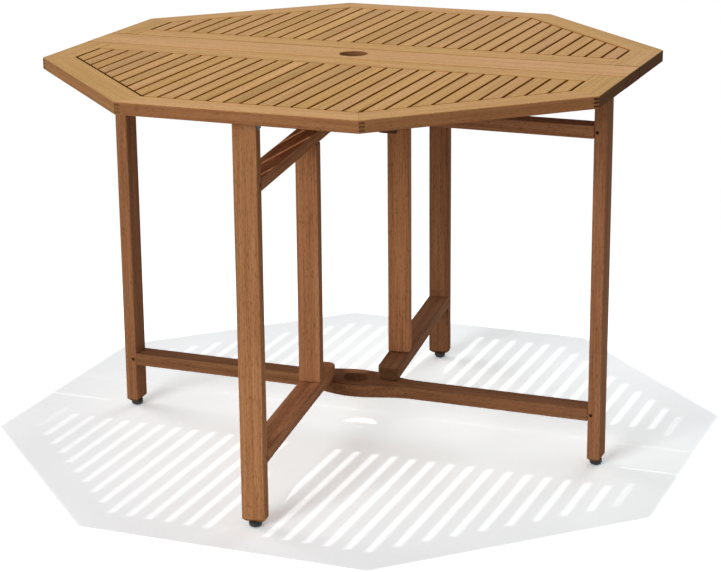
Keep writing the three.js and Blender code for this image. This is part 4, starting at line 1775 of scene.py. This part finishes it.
@dataclass
class Studio:
    """A pale floor, plain soft light and the camera."""

    floor_half: float = 30000.0
    floor_low: float = -0.3
    lamp_place: Vector3 = (73.0, -245.0, 3771.0)
    lamp_size: tuple[float, float] = (70.0, 14.0)
    lamp_power: float = 47.5
    softbox_place: Vector3 = (-1900.0, -7700.0, 2600.0)
    softbox_size: tuple[float, float] = (4400.0, 4400.0)
    softbox_power: float = 320.0
    panel_place: Vector3 = (-7200.0, 1800.0, 2200.0)
    panel_size: tuple[float, float] = (4800.0, 4800.0)
    panel_power: float = 150.0
    back_place: Vector3 = (1400.0, 7800.0, 2600.0)
    back_size: tuple[float, float] = (4800.0, 4800.0)
    back_power: float = 120.0
    sky: float = 0.3
    gloom_middle: Vector3 = (101.0, 161.0, 0.0)
    seen_middle: Vector3 = (2.33, 2.5, 2.54)
    seen_edge: Vector3 = (1.56, 1.6, 1.63)
    seen_reach: float = 780.0
    fade_start: float = 950.0
    fade_end: float = 1700.0
    floor_white: str = "#e6ebec"
    floor_grey: str = "#6f6f6f"
    aim_height: float = 450.0
    camera_place: Vector3 = (1452.9, -3632.5, 1479.3)
    camera_turn: float = 21.672
    camera_tilt: float = 16.843
    camera_roll: float = -0.525
    focal_pixels: float = 2161.1
    image_width: float = 721.0
    sensor: float = 36.0
    nearest: float = 100.0
    farthest: float = 100000.0

    def build(self) -> None:
        """Makes the studio."""
        bpy.context.scene.view_settings.view_transform = "Standard"
        self.build_floor()
        self.build_lights()
        self.build_camera()

    def build_floor(self) -> None:
        """A white floor that keeps the table's shadow.

        The camera sees it as an overexposed catalogue picture does: the light on it counts more, most in the
        table's own gloom near the middle, and it fades to plain white away from the table. To light it is a
        matt white sheet on a grey floor. From below it can be seen through, to show the underside.
        """
        half, low = self.floor_half * MM, self.floor_low * MM
        mesh = bpy.data.meshes.new("floor")
        corners = [(-half, -half, low), (half, -half, low), (half, half, low), (-half, half, low)]
        mesh.from_pydata(corners, [], [(0, 1, 2, 3)])
        floor = bpy.data.objects.new("floor", mesh)
        bpy.context.scene.collection.objects.link(floor)
        material, tree = new_material("matt_white_floor")
        place = add_node(tree, "ShaderNodeTexCoord").outputs["Object"]
        distance = add_node(tree, "ShaderNodeVectorMath", {0: place}, operation="LENGTH").outputs["Value"]
        away = add_node(tree, "ShaderNodeMapRange", {"Value": distance, "From Min": self.fade_start * MM,
                                                     "From Max": self.fade_end * MM})
        matt = add_node(tree, "ShaderNodeBsdfDiffuse", {"Color": linear(self.floor_white)})
        from_gloom = add_node(tree, "ShaderNodeVectorMath", {0: place, 1: np.array(self.gloom_middle) * MM},
                              operation="DISTANCE").outputs["Value"]
        out = add_node(tree, "ShaderNodeMapRange", {"Value": from_gloom, "From Max": self.seen_reach * MM})
        bright = add_node(tree, "ShaderNodeMix", {0: out.outputs[0], MIX_A: (*self.seen_middle, 1.0),
                                                  MIX_B: (*self.seen_edge, 1.0)}, data_type="RGBA")
        pale = add_node(tree, "ShaderNodeBsdfDiffuse", {"Color": bright.outputs[MIX_RESULT]})
        grey = add_node(tree, "ShaderNodeBsdfDiffuse", {"Color": linear(self.floor_grey)})
        sheet = add_node(tree, "ShaderNodeMixShader", {0: away.outputs[0], 1: matt.outputs[0],
                                                       2: grey.outputs[0]})
        plain = add_node(tree, "ShaderNodeEmission", {"Color": linear(WHITE), "Strength": 1.0})
        seen = add_node(tree, "ShaderNodeMixShader", {0: away.outputs[0], 1: pale.outputs[0],
                                                      2: plain.outputs[0]})
        shown = add_node(tree, "ShaderNodeMixShader", {0: showing_rays(tree), 1: sheet.outputs[0],
                                                       2: seen.outputs[0]})
        clear = add_node(tree, "ShaderNodeBsdfTransparent")
        side = add_node(tree, "ShaderNodeNewGeometry")
        both = add_node(tree, "ShaderNodeMixShader", {0: side.outputs["Backfacing"], 1: shown.outputs[0],
                                                      2: clear.outputs[0]})
        add_node(tree, "ShaderNodeOutputMaterial", {"Surface": both.outputs[0]})
        mesh.materials.append(material)

    def add_light(self, name: str, place: Vector3, size: tuple[float, float], power: float) -> None:
        """Adds a white elliptical area light that faces the middle of the table.

        Args:
            name: The light's name.
            place: Where it is.
            size: Its width and height.
            power: Its power in watts.
        """
        light = bpy.data.lights.new(name, "AREA")
        light.energy, light.shape = power, "ELLIPSE"
        light.size, light.size_y = size[0] * MM, size[1] * MM
        holder = bpy.data.objects.new(name, light)
        bpy.context.scene.collection.objects.link(holder)
        holder.location = np.array(place) * MM
        back = Vector(place) - Vector((0.0, 0.0, self.aim_height))
        holder.rotation_euler = back.to_track_quat("Z", "Y").to_euler()

    def build_lights(self) -> None:
        """A small lamp above, a wide softbox in front, weaker panels left and behind, and an even sky."""
        self.add_light("overhead_lamp", self.lamp_place, self.lamp_size, self.lamp_power)
        self.add_light("softbox", self.softbox_place, self.softbox_size, self.softbox_power)
        self.add_light("side_panel", self.panel_place, self.panel_size, self.panel_power)
        self.add_light("back_panel", self.back_place, self.back_size, self.back_power)
        world = bpy.data.worlds.new("even_sky")
        bpy.context.scene.world = world
        world.use_nodes = True
        tree = world.node_tree
        tree.nodes.clear()
        bright = add_node(tree, "ShaderNodeMath", {0: showing_rays(tree), 1: 1 - self.sky, 2: self.sky},
                          operation="MULTIPLY_ADD")
        back = add_node(tree, "ShaderNodeBackground", {"Color": linear(WHITE), "Strength": bright.outputs[0]})
        add_node(tree, "ShaderNodeOutputWorld", {"Surface": back.outputs[0]})

    def build_camera(self) -> None:
        """The camera at the photograph's place, turned about Z, tilted down and rolled a little."""
        data = bpy.data.cameras.new("camera")
        data.sensor_width = self.sensor
        data.lens = self.focal_pixels / self.image_width * self.sensor
        camera = bpy.data.objects.new("camera", data)
        bpy.context.scene.collection.objects.link(camera)
        turn = Matrix.Rotation(math.radians(self.camera_turn), 4, "Z")
        tilt = Matrix.Rotation(math.radians(90 - self.camera_tilt), 4, "X")
        roll = Matrix.Rotation(math.radians(self.camera_roll), 4, "Z")
        place = Matrix.Translation(np.array(self.camera_place) * MM)
        camera.matrix_world = place @ turn @ tilt @ roll
        data.clip_start, data.clip_end = self.nearest * MM, self.farthest * MM
        bpy.context.scene.camera = camera


def dress_packed_nodes(shop: Workshop) -> None:
    """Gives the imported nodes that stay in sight, the pivot pins, their steel.

    Args:
        shop: The workshop that holds the finishes.
    """
    for name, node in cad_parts.items():
        if node.hide_render:
            continue
        for holder in node.material_slots:
            holder.material = shop.materials[Slot.STEEL]
        LOG.info("%s keeps its solid and gets steel", name)


def main() -> None:
    """Builds the table, the studio and the record of its size."""
    logging.basicConfig(level=logging.INFO, format="%(name)s: %(message)s")
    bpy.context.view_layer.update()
    Studio().build()
    shop = Workshop()
    shop.stock()
    CentreBoard(shop).build()
    whole, turned_half = Place(), Place.about_z(math.pi)
    TopLeaf(shop, "front", Body.FRONT_LEAF, "right", "left", whole).build()
    TopLeaf(shop, "rear", Body.REAR_LEAF, "left", "right", turned_half).build()
    EndFrame(shop).build()
    hang = Place.about_z(GATE_SPLAY - math.pi / 2, GATE_PIVOT)
    # The front gate's higher rail shade is painted light from the sun through the slats; the rear gate's lower
    # one is painted shade.
    Gate(shop, "front", Body.FRONT_GATE, hang,
         leg_tone=0.3, leg_shade=0.12, post_shade=0.11, rail_shade=0.22).build()
    Gate(shop, "rear", Body.REAR_GATE, hang.within(turned_half),
         leg_tone=0.75, leg_shade=-0.24, post_shade=0.42, rail_shade=-0.3).build()
    dress_packed_nodes(shop)
    LOG.info("%d pieces", shop.made)


if __name__ == "__main__":
    main()
